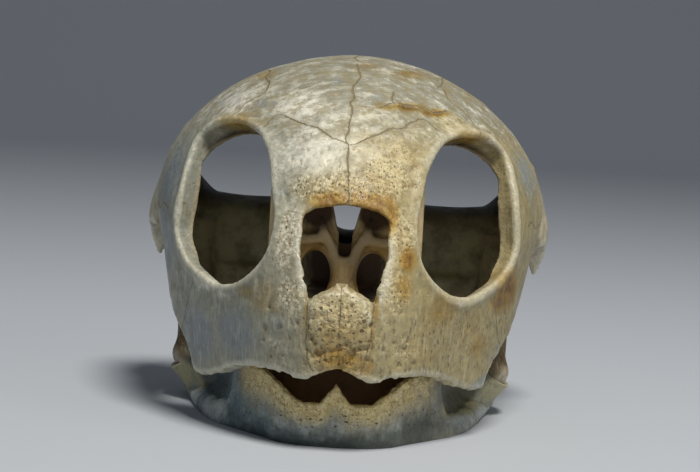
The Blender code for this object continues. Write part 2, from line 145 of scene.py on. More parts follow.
# The cranium's shape.
cranium = dict(
    step=0.5,      # grid for the surface, side to side and upwards
    frontStep=0.4,  # grid for the surface, front to back at the beak
    backStep=0.8,   # the same at the hind end
    room=((0, 50.4), (-2.4, 139.0), (-1.2, 84.4)),  # where the grid starts and ends in x, y and z
    triangles=194000,
    relief=dict(swell=0.22, ripple=0.10, upright=0.10, level=0.08, sponge=0.13),
    wall=3.0,
    foot=10.0,
    roofPower=1.97,
    # y, half width, height of the widest point, roof height, half width of the cheek at its foot
    dome=(
        (0, 3, 23.5, 29.5, 3), (0.8, 6, 23.5, 32.8, 5.8), (2.5, 9, 23.7, 37.5, 8.6),
        (6, 13.4, 24.4, 45.2, 12.8), (10, 17.4, 26, 52.2, 16.4), (15, 21.7, 28, 59, 20.4),
        (21, 26.2, 31, 65.4, 24.4), (28, 31, 34.5, 70.8, 28.8), (36, 35.8, 38.5, 75.4, 33),
        (45, 40, 42, 79, 36.2), (55, 43, 44, 81.4, 36.8), (66, 45, 46, 82.4, 36.6),
        (78, 45.8, 47, 81.4, 36.6), (90, 45, 47, 78.8, 37), (104, 41.5, 46, 74.2, 37), (114, 37, 47, 70, 34),
    ),
    # the rim of the orbit seen from the front: x, z
    orbitRim=(
        (16, 53.5), (16.5, 57.2), (17.5, 61), (20, 64.8), (23.5, 66.7), (27.5, 66.9), (31.2, 65.6),
        (34.2, 62.8), (35.8, 59), (36.6, 55), (37.2, 50.5), (37.7, 46), (37.8, 42), (36.8, 38.4),
        (34.5, 35.3), (31, 33.2), (27.5, 31.8), (23.8, 32.2), (20.4, 34.4), (17.6, 37.6), (15.8, 41.5),
        (15, 46), (15.2, 49.6),
    ),
    orbitAxis=(0.72, -0.66, 0.22),
    orbitReach=(-16, 22),  # how far along its axis the orbit is cut
    # the nostril seen from the front: x, z from the middle of its floor to its top
    nostril=(
        (0, 34.8), (0.9, 35.5), (1.7, 34.5), (3, 33.9), (5.4, 32.3), (6.9, 31.4), (7.5, 33.2), (8.4, 37.6),
        (9.2, 41.6), (9, 45), (8.9, 48), (7.6, 49.4), (5.9, 50.1), (2, 50.9), (0, 51),
    ),
    nostrilDepth=15.0,
    # the lower margin of face and cheek seen from the side: y, z
    lowerMargin=(
        (-6, 15), (2, 15), (4, 15.5), (6.5, 16.1), (9, 16.3), (12.5, 16), (16, 15.3), (20, 13.9), (25, 12.3),
        (29, 11.3), (32, 10.8), (33.8, 11.2), (35.2, 13.4), (37, 15.8), (40, 19), (44, 21.6), (50, 23.4),
        (57, 24.4), (63, 24.4), (67, 23.4), (70, 24.4), (73, 29), (76, 33), (80, 36), (90, 41), (98, 46),
        (108, 50), (124, 52),
    ),
    # the hind margin of the roof, the palate shelf and the flat bones behind it seen from above: x, y
    hindMargin=((0, 97), (6, 92), (14, 88), (24, 88.5), (33, 94), (39, 101), (42.5, 104), (45, 103),
                (60, 98)),
    shelf=((0, -2), (45, -2), (45, 50), (33, 46), (26, 41), (15, 36), (9, 31), (0, 31)),
    plate=((6, 28), (6, 38), (13, 42), (14.5, 46), (10.5, 52), (8.5, 60), (11, 69), (20, 75), (31, 76),
           (33, 82), (20, 88), (13, 94), (10, 102), (6, 106)),
    # the slot behind the nostril seen from the front: x, z; the crest seen from the side: y, z
    slot=((0, 39.5), (1.3, 39.9), (1.5, 44.5), (2, 46), (3.05, 50.5), (3.7, 53), (3.7, 57), (0, 57)),
    crest=((84, 77), (98, 74.6), (112, 71), (125, 66.2), (134, 61.2), (136.4, 58.6), (134, 57), (124, 59.6),
           (114, 59.5), (107, 55.5), (103, 48.5), (92, 50), (84, 62)),
    beakNotch=(7.5, 3.6, 14.4),  # half width, height, height of its foot
)
# bent rods: x, y, z, radius
rods = dict(
    beakSide=((7.5, 2.2, 33.5, 1.3), (7.2, 1.2, 30.5, 0.8), (7.1, 0.7, 27, 0.6), (6.8, 0.5, 23.5, 0.45),
              (6.2, 0.4, 20.5, 0.2)),
    beakMiddle=((0, -0.2, 36, 0.9), (0, -0.9, 33.5, 0.75), (0, -1.2, 30, 0.6), (0, -1.2, 26.5, 0.2)),
    fork=((1.9, 18, 36.5, 0.9), (2.1, 17.8, 39, 1), (3, 17.8, 41.8, 1), (4.6, 18, 44.4, 0.9),
          (5.2, 18.6, 47.2, 0.5)),
    ledge=((4.4, 18.2, 43.4, 0.9), (7.6, 18, 42.9, 1), (13, 19.5, 42.6, 1.2)),
)
# bones and hollows carried along one axis: the box they stay in, the axis, the power of their oval, the
# softness of their ends and of their join, and rows of place, two centres and two half sizes
ovals = dict(
    swelling=((0, -3, 12), (12, 10, 38), "y", 2.2, 0.6, 1.3, (
        (-0.8, 0, 27.5, 2.2, 3), (-0.4, 0, 27.2, 4.4, 5.2), (0.4, 0, 26.9, 6, 7), (1.6, 0, 26.4, 6.8, 8.7),
        (4.5, 0, 25.2, 6.9, 9.8), (7, 0, 24, 5, 7))),
    pillar=((0, 10, 18), (22, 32, 70), "z", 2, 1.2, 1.6, (
        (23, 0, 18.6, 7.4, 5), (27, 0, 18.8, 5.6, 4), (31, 0, 19, 3.8, 3.3), (35, 0, 19, 2.7, 2.9),
        (38.5, 0, 19, 2.5, 2.7), (41.5, 0, 19.2, 3.4, 2.5))),
    passage=((0, 9, 12), (14, 43, 46), "y", 2, 1.2, 1.0, (
        (12, 6.2, 36.5, 3.4, 5.4), (20, 6.2, 35.5, 3.4, 5.4), (30, 6.8, 29, 3.6, 6), (40, 7.2, 20, 3.6, 6))),
    braincase=((0, 38, 20), (18, 110, 62), "y", 2.3, 3, 2.5, (
        (42, 0, 47.5, 5.5, 9.5), (52, 0, 45, 7.5, 13), (64, 0, 42, 9.5, 16), (78, 0, 40, 12, 16),
        (92, 0, 39, 13, 14), (100, 0, 40, 11, 11.5), (105.5, 0, 41, 8.8, 9.5))),
    ear=((2, 70, 20), (46, 102, 62), "x", 2.5, 1.2, 3.0, (
        (5, 86, 37, 11, 11), (14, 86, 37.5, 10, 10), (24, 86, 38, 8.5, 9.2), (32, 85, 38, 9, 9.8),
        (38, 84, 40, 9.5, 13), (42.5, 84, 44, 9, 14))),
    quadrate=((26, 56, 6), (46, 92, 46), "z", 2.3, 0.8, 2.0, (
        (8.3, 34.4, 65, 4.6, 3.4), (10.6, 34.4, 65.2, 5.2, 4.3), (14.5, 34.8, 67, 4, 4.6),
        (21.5, 35.4, 71, 3.8, 6), (31, 36.2, 76.5, 4.4, 8), (42, 36.5, 80, 5.5, 9))),
    flange=((38, 74, 24), (50.4, 100, 60), "z", 2, 1.2, 1.6, (
        (25.4, 46, 84, 1, 1.4), (27.4, 46, 84, 1.6, 2.6), (31, 46, 84, 2, 4.2), (37, 46, 84.5, 2.5, 6.5),
        (43, 45.8, 85.5, 2.7, 9.5), (50, 44.3, 87, 2.4, 10), (58, 42.4, 88, 1.4, 7))),
    knob=((0, 95, 26), (8, 113, 42), "y", 2, 1.5, 1.5, (
        (98, 0, 34.2, 3.4, 2.9), (102, 0, 34.2, 4.2, 3.6), (105.5, 0, 34.2, 5, 4.3), (108.2, 0, 34.2, 4.6, 4),
        (110.2, 0, 34.2, 2.8, 2.4))),
    earHollow=((31, 68, 20), (50.4, 94, 44), "x", 2, 1.2, 1.4, (
        (33.5, 81, 33, 3, 3.1), (38, 80.5, 32.5, 5.5, 5.8), (52, 80, 31.5, 8.5, 8.9))),
    brain=((0, 30, 34), (12, 120, 58), "y", 2.2, 1.2, 1.2, (
        (34, 0, 49, 3.8, 6.5), (48, 0, 47.5, 4.6, 8), (66, 0, 46, 6.5, 8.5), (86, 0, 44.8, 7, 7),
        (99, 0, 43.9, 5.2, 4.7), (116, 0, 43, 5.4, 4.7))),
)


def gridAxes():
    # even steps across and upwards; front to back the step grows from frontStep to backStep
    across, (place, end), upwards = cranium["room"]
    x, z = (np.arange(*ends, cranium["step"], dtype=np.float32) for ends in (across, upwards))
    y = []
    while place < end:
        y.append(place)
        grown = min(max((place - 25) / 50, 0), 1)
        place += cranium["frontStep"] + (cranium["backStep"] - cranium["frontStep"]) * grown
    return x, np.array(y, np.float32), z


gx, gy, gz = gridAxes()
gridX, gridY, gridZ = gx[:, None, None], gy[None, :, None], gz[None, None, :]
print("grid:", len(gx), "x", len(gy), "x", len(gz))


def domeRatio(x, y, z):
    # how far out a point is as a share of the way to the skull's outside: a superellipse above the
    # widest line, and below it the distance from the middle over the half width of the leaning cheek
    wide, widest, roof, foot = curvesThrough(cranium["dome"], y)
    up = np.clip((z - widest) / (roof - widest), 0, None)
    down = np.clip((widest - z) / (widest - cranium["foot"]), 0, None)
    side = wide - (wide - foot) * down**1.1
    power = cranium["roofPower"]
    return ((np.abs(x) / side) ** power + up**power) ** (1 / power)


def turningPoint(test, count, low, high):
    # halving search between low and high for where a test that holds at low stops holding
    low, high = np.full(count, low), np.full(count, high)
    for _ in range(26):
        middle = (low + high) / 2
        holds = test(middle)
        low, high = np.where(holds, middle, low), np.where(holds, high, middle)
    return high


def depthOf(x, z):
    # how far back the outside of the skull is at points seen from the front
    return turningPoint(lambda y: domeRatio(x, y, z) > 1, len(x), 0.0, 78.0)


def windowOf(low, high):
    # the slices of the grid between two corners
    cut = []
    for axis, a, b in zip((gx, gy, gz), low, high):
        first, last = np.searchsorted(axis, a), np.searchsorted(axis, b)
        cut.append(slice(max(int(first) - 1, 0), min(int(last) + 1, len(axis))))
    return tuple(cut)


def gridPart(cut):
    return gridX[cut[0]], gridY[:, cut[1]], gridZ[:, :, cut[2]]


def joinOn(field, low, high, shape, soft=1.5):
    # adds a bone to the field inside a window, with a fillet of the given softness
    cut = windowOf(low, high)
    field[cut] = softMin(field[cut], shape(*gridPart(cut)), soft)


def cutFrom(field, low, high, shape, soft=0.8):
    cut = windowOf(low, high)
    field[cut] = softMax(field[cut], -shape(*gridPart(cut)), soft)


def oval(field, name, change):
    # joins on or cuts out one of the ovals: the offset of the superellipse over its slope is its
    # distance, and flat ends close it
    low, high, along, power, ends, soft, rows = ovals[name]

    def shape(x, y, z):
        t, a, b = {"x": (x, y, z), "y": (y, x, z), "z": (z, x, y)}[along]
        ca, cb, ha, hb = (v.astype(np.float32) for v in curvesThrough(rows, t))
        da, db = np.abs(a - ca) / ha, np.abs(b - cb) / hb
        q = np.maximum((da**power + db**power) ** (1 / power), 1e-3)
        slope = q ** (1 - power) * np.sqrt((da ** (power - 1) / ha) ** 2 + (db ** (power - 1) / hb) ** 2)
        body = (q - 1) / np.maximum(slope, 1 / np.maximum(ha, hb))
        return softMax(body, np.maximum(rows[0][0] - t, t - rows[-1][0]), ends)

    change(field, low, high, shape, soft)


def rod(name):
    # a bent rod: the least distance to its straight stretches, less the radius there
    def shape(x, y, z):
        nearest = None
        for a, b in zip(rods[name], rods[name][1:]):
            d = [b[n] - a[n] for n in range(4)]
            p = x - a[0], y - a[1], z - a[2]
            t = np.clip((p[0] * d[0] + p[1] * d[1] + p[2] * d[2]) / sum(v * v for v in d[:3]), 0, 1)
            away = np.sqrt(sum((p[n] - t * d[n]) ** 2 for n in range(3))) - (a[3] + d[3] * t)
            nearest = away if nearest is None else np.minimum(nearest, away)
        return nearest

    return shape


def domeDistance():
    # the ratio's offset from 1 over its slope on the grid
    ratio = domeRatio(gridX, gridY, gridZ).astype(np.float32)
    slopes = np.gradient(ratio, gx, gy, gz)
    slope = np.sqrt(slopes[0] ** 2 + slopes[1] ** 2 + slopes[2] ** 2)
    return np.maximum((ratio - 1) / np.maximum(slope, 0.012), -gridY - 0.02 * gridZ + 0.4)


def measureOrbit():
    # the orbit's outline laid flat across its axis, and a table of signed distances to it
    axis = np.array(cranium["orbitAxis"]) / np.linalg.norm(cranium["orbitAxis"])
    front = np.array(cranium["orbitRim"])
    rim = np.stack([front[:, 0], depthOf(front[:, 0], front[:, 1]), front[:, 1]], axis=1)
    centre = rim.mean(axis=0)
    level = np.cross(axis, (0, 0, 1.0))
    level /= np.linalg.norm(level)
    upward = np.cross(level, axis)
    flat = smoothLine(np.stack([(rim - centre) @ level, (rim - centre) @ upward], axis=1), 5, closed=True)
    first, spacing = -44.0, 0.4
    marks = np.arange(first, -first, spacing)
    table = outlineDistance(marks[:, None], marks[None, :], flat)
    return dict(centre=centre, ways=(level, upward, axis), first=first, spacing=spacing, table=table)


orbit = measureOrbit()


def orbitCoordinates(x, y, z):
    # a point's two coordinates across the orbit's axis and its depth along it
    dx, dy, dz = x - orbit["centre"][0], y - orbit["centre"][1], z - orbit["centre"][2]
    return tuple((dx * v[0] + dy * v[1] + dz * v[2]).astype(np.float32) for v in orbit["ways"])


def orbitDistance(u, v, scale):
    # the table read between its entries, for an outline of the given scale
    table = orbit["table"]
    a, b = (np.clip((w / scale - orbit["first"]) / orbit["spacing"], 0, len(table) - 1.001) for w in (u, v))
    i, j = a.astype(np.int32), b.astype(np.int32)
    fa, fb = a - i, b - j
    near = (1 - fb) * table[i, j] + fb * table[i, j + 1]
    far = (1 - fb) * table[i + 1, j] + fb * table[i + 1, j + 1]
    return scale * ((1 - fa) * near + fa * far)


def faceShell(dome):
    # the outer shell between the dome and a dome inside it, trimmed by the lower and hind margins
    roughEdge = 0.42 * unevenness(gridX, gridY, gridZ * 0, 1.2, 3) * ramp(40 - gridY, 0, 6)
    lower = list(smoothLine(cranium["lowerMargin"], 5)) + [(124, -30), (-6, -30)]
    hind = list(smoothLine(cranium["hindMargin"], 5)) + [(60, 160), (-20, 160), (-20, 97)]
    below = outlineDistance(gy[:, None], gz[None, :], lower)[None]
    behind = outlineDistance(gx[:, None], gy[None, :], hind)[:, :, None]
    shell = np.maximum(dome, -(dome + cranium["wall"] - 0.7 * ramp(gridY, 60, 95)))
    shell = softMax(shell, -(below + roughEdge).astype(np.float32), 0.6)
    return softMax(shell, -behind, 1.4)


def faceBones(field, dome):
    # palate shelf: an outline seen from above between two sloping planes, kept inside the shell
    seenAbove = outlineDistance(gx[:, None], gy[None, :], bothSides(cranium["shelf"]))[:, :, None]
    under = 21.5 - 0.10 * gridY + 0.05 * gridX
    over = 27.0 - 0.06 * gridY + 0.05 * gridX
    shelf = softMax(np.maximum(under - gridZ, gridZ - over), seenAbove, 1.5)
    field[:] = softMin(field, np.maximum(shelf, dome + cranium["wall"] / 2), 2.4)
    # the beak's thick front, and the swelling of the two bones under the nostril
    box = (0, -3, 14), (12, 12, 36)
    inShell = dome[windowOf(*box)] + 1.5
    joinOn(field, *box, lambda x, y, z: np.maximum(
        np.maximum(np.maximum(x - 8.5, y - 7.5), np.maximum(18 - z, z - 30.5)), inShell), 2.0)
    oval(field, "swelling", joinOn)
    # the notch in the middle of the beak's edge: a pointed arch, a little ragged
    halfWidth, high, footZ = cranium["beakNotch"]
    cutFrom(field, (0, -3, 12), (12, 12, 22), lambda x, y, z: softMax(
        (((x / halfWidth) ** 1.2 + (np.maximum(z - footZ, 0) / high) ** 1.2) ** (1 / 1.2) - 1) * 2.6
        + 0.2 * unevenness(x, y, z, 1.1, 6), y - 9, 1.0), 0.6)
    # the two bones under the nostril stand between grooves, which open into a wedge at the top, and a
    # short groove runs down the middle of them
    cutFrom(field, (3, -3, 18), (10, 6, 35), rod("beakSide"), 0.4)
    cutFrom(field, (0, -3, 25), (4, 4, 37), rod("beakMiddle"), 0.7)


def orbits(field, dome):
    # the orbit is cut along its axis, narrowing inwards; a collar hangs under its roof, and a low
    # rounded rim runs round it: the distance from a ring a little outside the outline, less a radius
    cut = windowOf((6, 0, 20), (50, 84, 80))
    u, v, depth = orbitCoordinates(*gridPart(cut))
    deepest, nearest = cranium["orbitReach"]
    scale, = curvesThrough(((deepest, 0.86), (-9, 0.88), (-2.5, 0.97), (0, 1), (nearest, 1)), depth)
    hole = orbitDistance(u, v, scale.astype(np.float32))
    outside = dome[cut]
    height = gridZ[:, :, cut[2]]
    # the collar reaches furthest in under the roof, less far at the outer side, and not at all at the nose
    reachIn = 9.5 * ramp(height, 55, 64) + 4.0 * ramp(-u, 3, 12) * (1 - ramp(height, 55, 64)) + 0.5
    collar = softMax(orbitDistance(u, v, 1.1), np.maximum(-reachIn - depth, depth - 3), 1.0)
    collar = softMax(collar, outside + 1.2, 1.2)
    part = softMin(field[cut], collar, 1.2)
    part = softMax(part, -softMax(hole, np.maximum(deepest - depth, depth - nearest), 1.0), 0.8)
    rimSize = 0.95 + 0.2 * ramp(height, 52, 62) + 0.15 * unevenness(*gridPart(cut), 4.0, 11)
    ring = np.sqrt((hole - 1.0) ** 2 + (outside + 0.6) ** 2) - rimSize
    field[cut] = softMin(part, ring, 1.2)


def nose(field, dome):
    # the nostril is a straight cut from the front; behind it a wall carries a slot, a forked pillar
    # in the middle and a slanting passage on each side
    half = smoothLine(cranium["nostril"], 5)
    seenFront = outlineDistance(gx[:, None], gz[None, :], bothSides(half))[:, None, :]
    ragged = (0.16 + 0.42 * ramp(42 - gridZ, 0, 4)) * unevenness(gridX, gridY, gridZ, 1.1, 5)
    field[:] = softMax(field, -softMax(seenFront + ragged, gridY - cranium["nostrilDepth"], 1.0), 0.9)
    box = (0, 10, 18), (22, 32, 70)
    cut = windowOf(*box)

    def wall(x, y, z):
        bowed = 20.5 + 0.012 * x * x - 1.2 * ramp(30 - z, 0, 8)
        flat = softMax(np.abs(y - bowed) - 1.7, np.maximum(x - 16.5, np.maximum(24 - z, z - 66)), 1.0)
        return np.maximum(flat, dome[cut] + 1.5)

    slot = outlineDistance(gx[cut[0]][:, None], gz[cut[2]][None, :], bothSides(cranium["slot"]))[:, None, :]
    joinOn(field, *box, wall, 2.0)
    oval(field, "pillar", joinOn)
    joinOn(field, *box, rod("fork"), 0.9)
    joinOn(field, *box, rod("ledge"), 1.4)
    cutFrom(field, *box, lambda x, y, z: softMax(slot, np.abs(y - 22) - 6, 0.8), 0.7)


def innerBones(field):
    # the flat bones behind the palate: an outline seen from above between two sloping planes
    outline = [tuple(p) for p in smoothLine(cranium["plate"], 4)]
    outline = outline + [(-a, b) for a, b in outline[::-1]]
    box = (0, 26, 18), (36, 108, 36)
    cut = windowOf(*box)
    seenAbove = outlineDistance(gx[cut[0]][:, None], gy[cut[1]][None, :], outline)[:, :, None]

    def plate(x, y, z):
        sag = 0.9 * np.cos(np.clip(x / 14, 0, 1) * math.pi) * ramp(y, 40, 60)
        return softMax(np.maximum(22.3 + 0.03 * y - sag - z, z - 26.3 - 0.05 * y + sag), seenAbove, 1.6)

    joinOn(field, *box, plate, 2.0)
    # the two slanting passages open through the palate behind the beak
    oval(field, "passage", cutFrom)
    oval(field, "braincase", joinOn)

    def midWall(x, y, z):
        # a thin upright wall that flares where it meets the roof and the braincase
        top, = curvesThrough(((48, 78), (66, 80.5), (84, 78), (96, 75)), y)
        half = 1.9 + 5.0 * ramp(z, top - 11, top + 2) ** 2 + 2.0 * ramp(56 - z, 0, 8)
        return softMax(x - half, np.maximum(np.maximum(47 - y, y - 96.5), np.maximum(48 - z, z - top)), 1.5)

    joinOn(field, (0, 44, 44), (14, 100, 82), midWall, 2.2)
    for name in ("ear", "quadrate", "flange"):
        oval(field, name, joinOn)
    seenSide = outlineDistance(gy[:, None], gz[None, :], smoothLine(cranium["crest"], 4, closed=True))[None]
    half = 1.35 + 0.45 * ramp(seenSide, -4, -0.5) + 2.2 * ramp(62 - gridZ + 0.1 * (100 - gridY), 0, 14)
    field[:] = softMin(field, softMax(seenSide, gridX - half, 1.1), 2.0)
    oval(field, "knob", joinOn)
    oval(field, "earHollow", cutFrom)
    oval(field, "brain", cutFrom)


def buildField():
    dome = domeDistance()
    print("dome measured")
    field = faceShell(dome).astype(np.float32)
    faceBones(field, dome)
    orbits(field, dome)
    nose(field, dome)
    innerBones(field)
    print("bones joined")
    return field, dome


# From the field to a mesh.
def sliceAlong(axis, first, last):
    # an index that cuts a grid along one axis only
    return tuple(slice(first, last) if n == axis else slice(None) for n in range(3))


def surfaceOf(field, axes):
    # one point in each cell that the surface crosses, at the mean of where it crosses the cell's edges,
    # and one face across each grid edge whose ends lie on two sides of the surface
    inside = field < 0
    size = [n - 1 for n in field.shape]
    count = sum(inside[i:size[0] + i, j:size[1] + j, k:size[2] + k].astype(np.int8) for i, j, k in corners)
    active = (count > 0) & (count < 8)
    number = np.full(size, -1, np.int32)
    cells = np.argwhere(active).astype(np.int32)
    number[active] = np.arange(len(cells), dtype=np.int32)
    value = {corner: field[tuple(cells[:, n] + corner[n] for n in range(3))] for corner in corners}
    total, crossings = np.zeros((len(cells), 3)), np.zeros(len(cells))
    for start in corners:
        for axis in range(3):
            if start[axis]:
                continue
            end = tuple(1 if n == axis else start[n] for n in range(3))
            a, b = value[start], value[end]
            crossed = (a < 0) != (b < 0)
            t = np.where(crossed, a / np.where(crossed, a - b, 1), 0)
            for n in range(3):
                total[:, n] += crossed * (t if n == axis else start[n])
            crossings += crossed
    place = cells + total / crossings[:, None]
    points = np.stack([np.interp(place[:, n], np.arange(len(axes[n])), axes[n]) for n in range(3)], axis=1)
    faces = []
    for axis in range(3):
        edge = np.argwhere(inside[sliceAlong(axis, 0, -1)] != inside[sliceAlong(axis, 1, None)])
        b, c = [n for n in range(3) if n != axis]
        for n in (b, c):
            edge = edge[(edge[:, n] > 0) & (edge[:, n] < field.shape[n] - 1)]
        ring = []
        for db, dc in ((-1, -1), (0, -1), (0, 0), (-1, 0)):
            at = edge.copy()
            at[:, b] += db
            at[:, c] += dc
            ring.append(number[tuple(at.T)])
        quad = np.stack(ring, axis=1)
        outwards = inside[tuple(edge.T)] != (axis == 1)
        faces.append(np.where(outwards[:, None], quad, quad[:, ::-1]))
    return points, np.concatenate(faces)


def readGrid(values, points):
    # the grid's values at any points; the grid is that of one side of the skull
    cell, part = [], []
    for n, axis in enumerate((gx, gy, gz)):
        place = np.interp(np.abs(points[:, n]) if n == 0 else points[:, n], axis, np.arange(len(axis)))
        low = np.minimum(place.astype(np.int32), len(axis) - 2)
        cell.append(low)
        part.append(place - low)
    return blended(values, cell, part)


def crowding(field, reach):
    # the share of bone within reach of each grid point, as a running mean along each axis:
    # about a half on a flat face, more in a hollow, less on an edge
    share = (field < 0).astype(np.float32)
    share = np.concatenate([share[reach:0:-1], share], axis=0)
    width = 2 * reach + 1
    for axis in range(3):
        pad = [(reach + 1, reach) if n == axis else (0, 0) for n in range(3)]
        total = np.cumsum(np.pad(share, pad, mode="edge"), axis=axis, dtype=np.float64)
        share = total[sliceAlong(axis, width, None)] - total[sliceAlong(axis, 0, -width)]
        share = (share / width).astype(np.float32)
    return share[reach:]


def relaxed(points, faces, turns):
    # each point moves part of the way to the mean of its neighbours, and back again by a little more
    pairs = np.concatenate([faces[:, [k, (k + 1) % 4]] for k in range(4)])
    near = np.concatenate([pairs, pairs[:, ::-1]])
    count = np.bincount(near[:, 0], minlength=len(points))[:, None]
    for _ in range(turns):
        for amount in (0.5, -0.52):
            mean = [np.bincount(near[:, 0], points[near[:, 1], n], len(points)) for n in range(3)]
            points = points + amount * (np.stack(mean, axis=1) / count - points)
    return points


def pointNormals(points, faces):
    # the sum of the cross products of the faces' diagonals at each point, made one long
    across = np.cross(points[faces[:, 2]] - points[faces[:, 0]], points[faces[:, 3]] - points[faces[:, 1]])
    total = [sum(np.bincount(faces[:, k], across[:, n], len(points)) for k in range(4)) for n in range(3)]
    total = np.stack(total, axis=1)
    return total / np.maximum(np.linalg.norm(total, axis=1), 1e-9)[:, None]


def meshOf(name, points, faces):
    # a Blender object in metres from points in millimetres
    moved = (points - np.array((0, skullLength / 2, 0))) * millimetre
    mesh = bpy.data.meshes.new(name)
    mesh.vertices.add(len(moved))
    mesh.vertices.foreach_set("co", moved.astype(np.float32).ravel())
    mesh.loops.add(faces.size)
    mesh.loops.foreach_set("vertex_index", faces.astype(np.int32).ravel())
    mesh.polygons.add(len(faces))
    mesh.polygons.foreach_set("loop_start", np.arange(0, faces.size, faces.shape[1], dtype=np.int32))
    mesh.update(calc_edges=True)
    mesh.validate()
    made = bpy.data.objects.new(name, mesh)
    bpy.context.scene.collection.objects.link(made)
    return made


def readPoints(made):
    # the points in millimetres, and the normals there
    places, normals = (np.empty(len(made.data.vertices) * 3, np.float32) for _ in range(2))
    made.data.vertices.foreach_get("co", places)
    made.data.vertex_normals.foreach_get("vector", normals)
    places = places.reshape(-1, 3) / millimetre + np.array((0, skullLength / 2, 0))
    return places, normals.reshape(-1, 3).astype(float)


def keepValues(made, name, values):
    # a number or a vector for each point, which the material reads by its name
    values = np.asarray(values, np.float32)
    kind, field = ("FLOAT", "value") if values.ndim == 1 else ("FLOAT_VECTOR", "vector")
    made.data.attributes.new(name, kind, "POINT").data.foreach_set(field, values.ravel())


def thinned(made, goal, spare):
    # the Decimate modifier brings the triangles down to the goal, mostly at the points named as spare
    group = made.vertex_groups.new(name="spare")
    for level in range(1, 5):
        chosen = np.nonzero(np.round(spare * 4) == level)[0].tolist()
        group.add(chosen, level / 4, "REPLACE")
    thin = made.modifiers.new("Thin", "DECIMATE")
    thin.ratio = goal / (2 * len(made.data.polygons))
    thin.vertex_group = group.name
    thin.vertex_group_factor = 0.6
    settled = bpy.data.meshes.new_from_object(made.evaluated_get(bpy.context.evaluated_depsgraph_get()))
    made.modifiers.clear()
    made.vertex_groups.clear()
    old, made.data = made.data, settled
    bpy.data.meshes.remove(old)
    settled.name = made.name


fieldGrid, domeGrid = buildField()

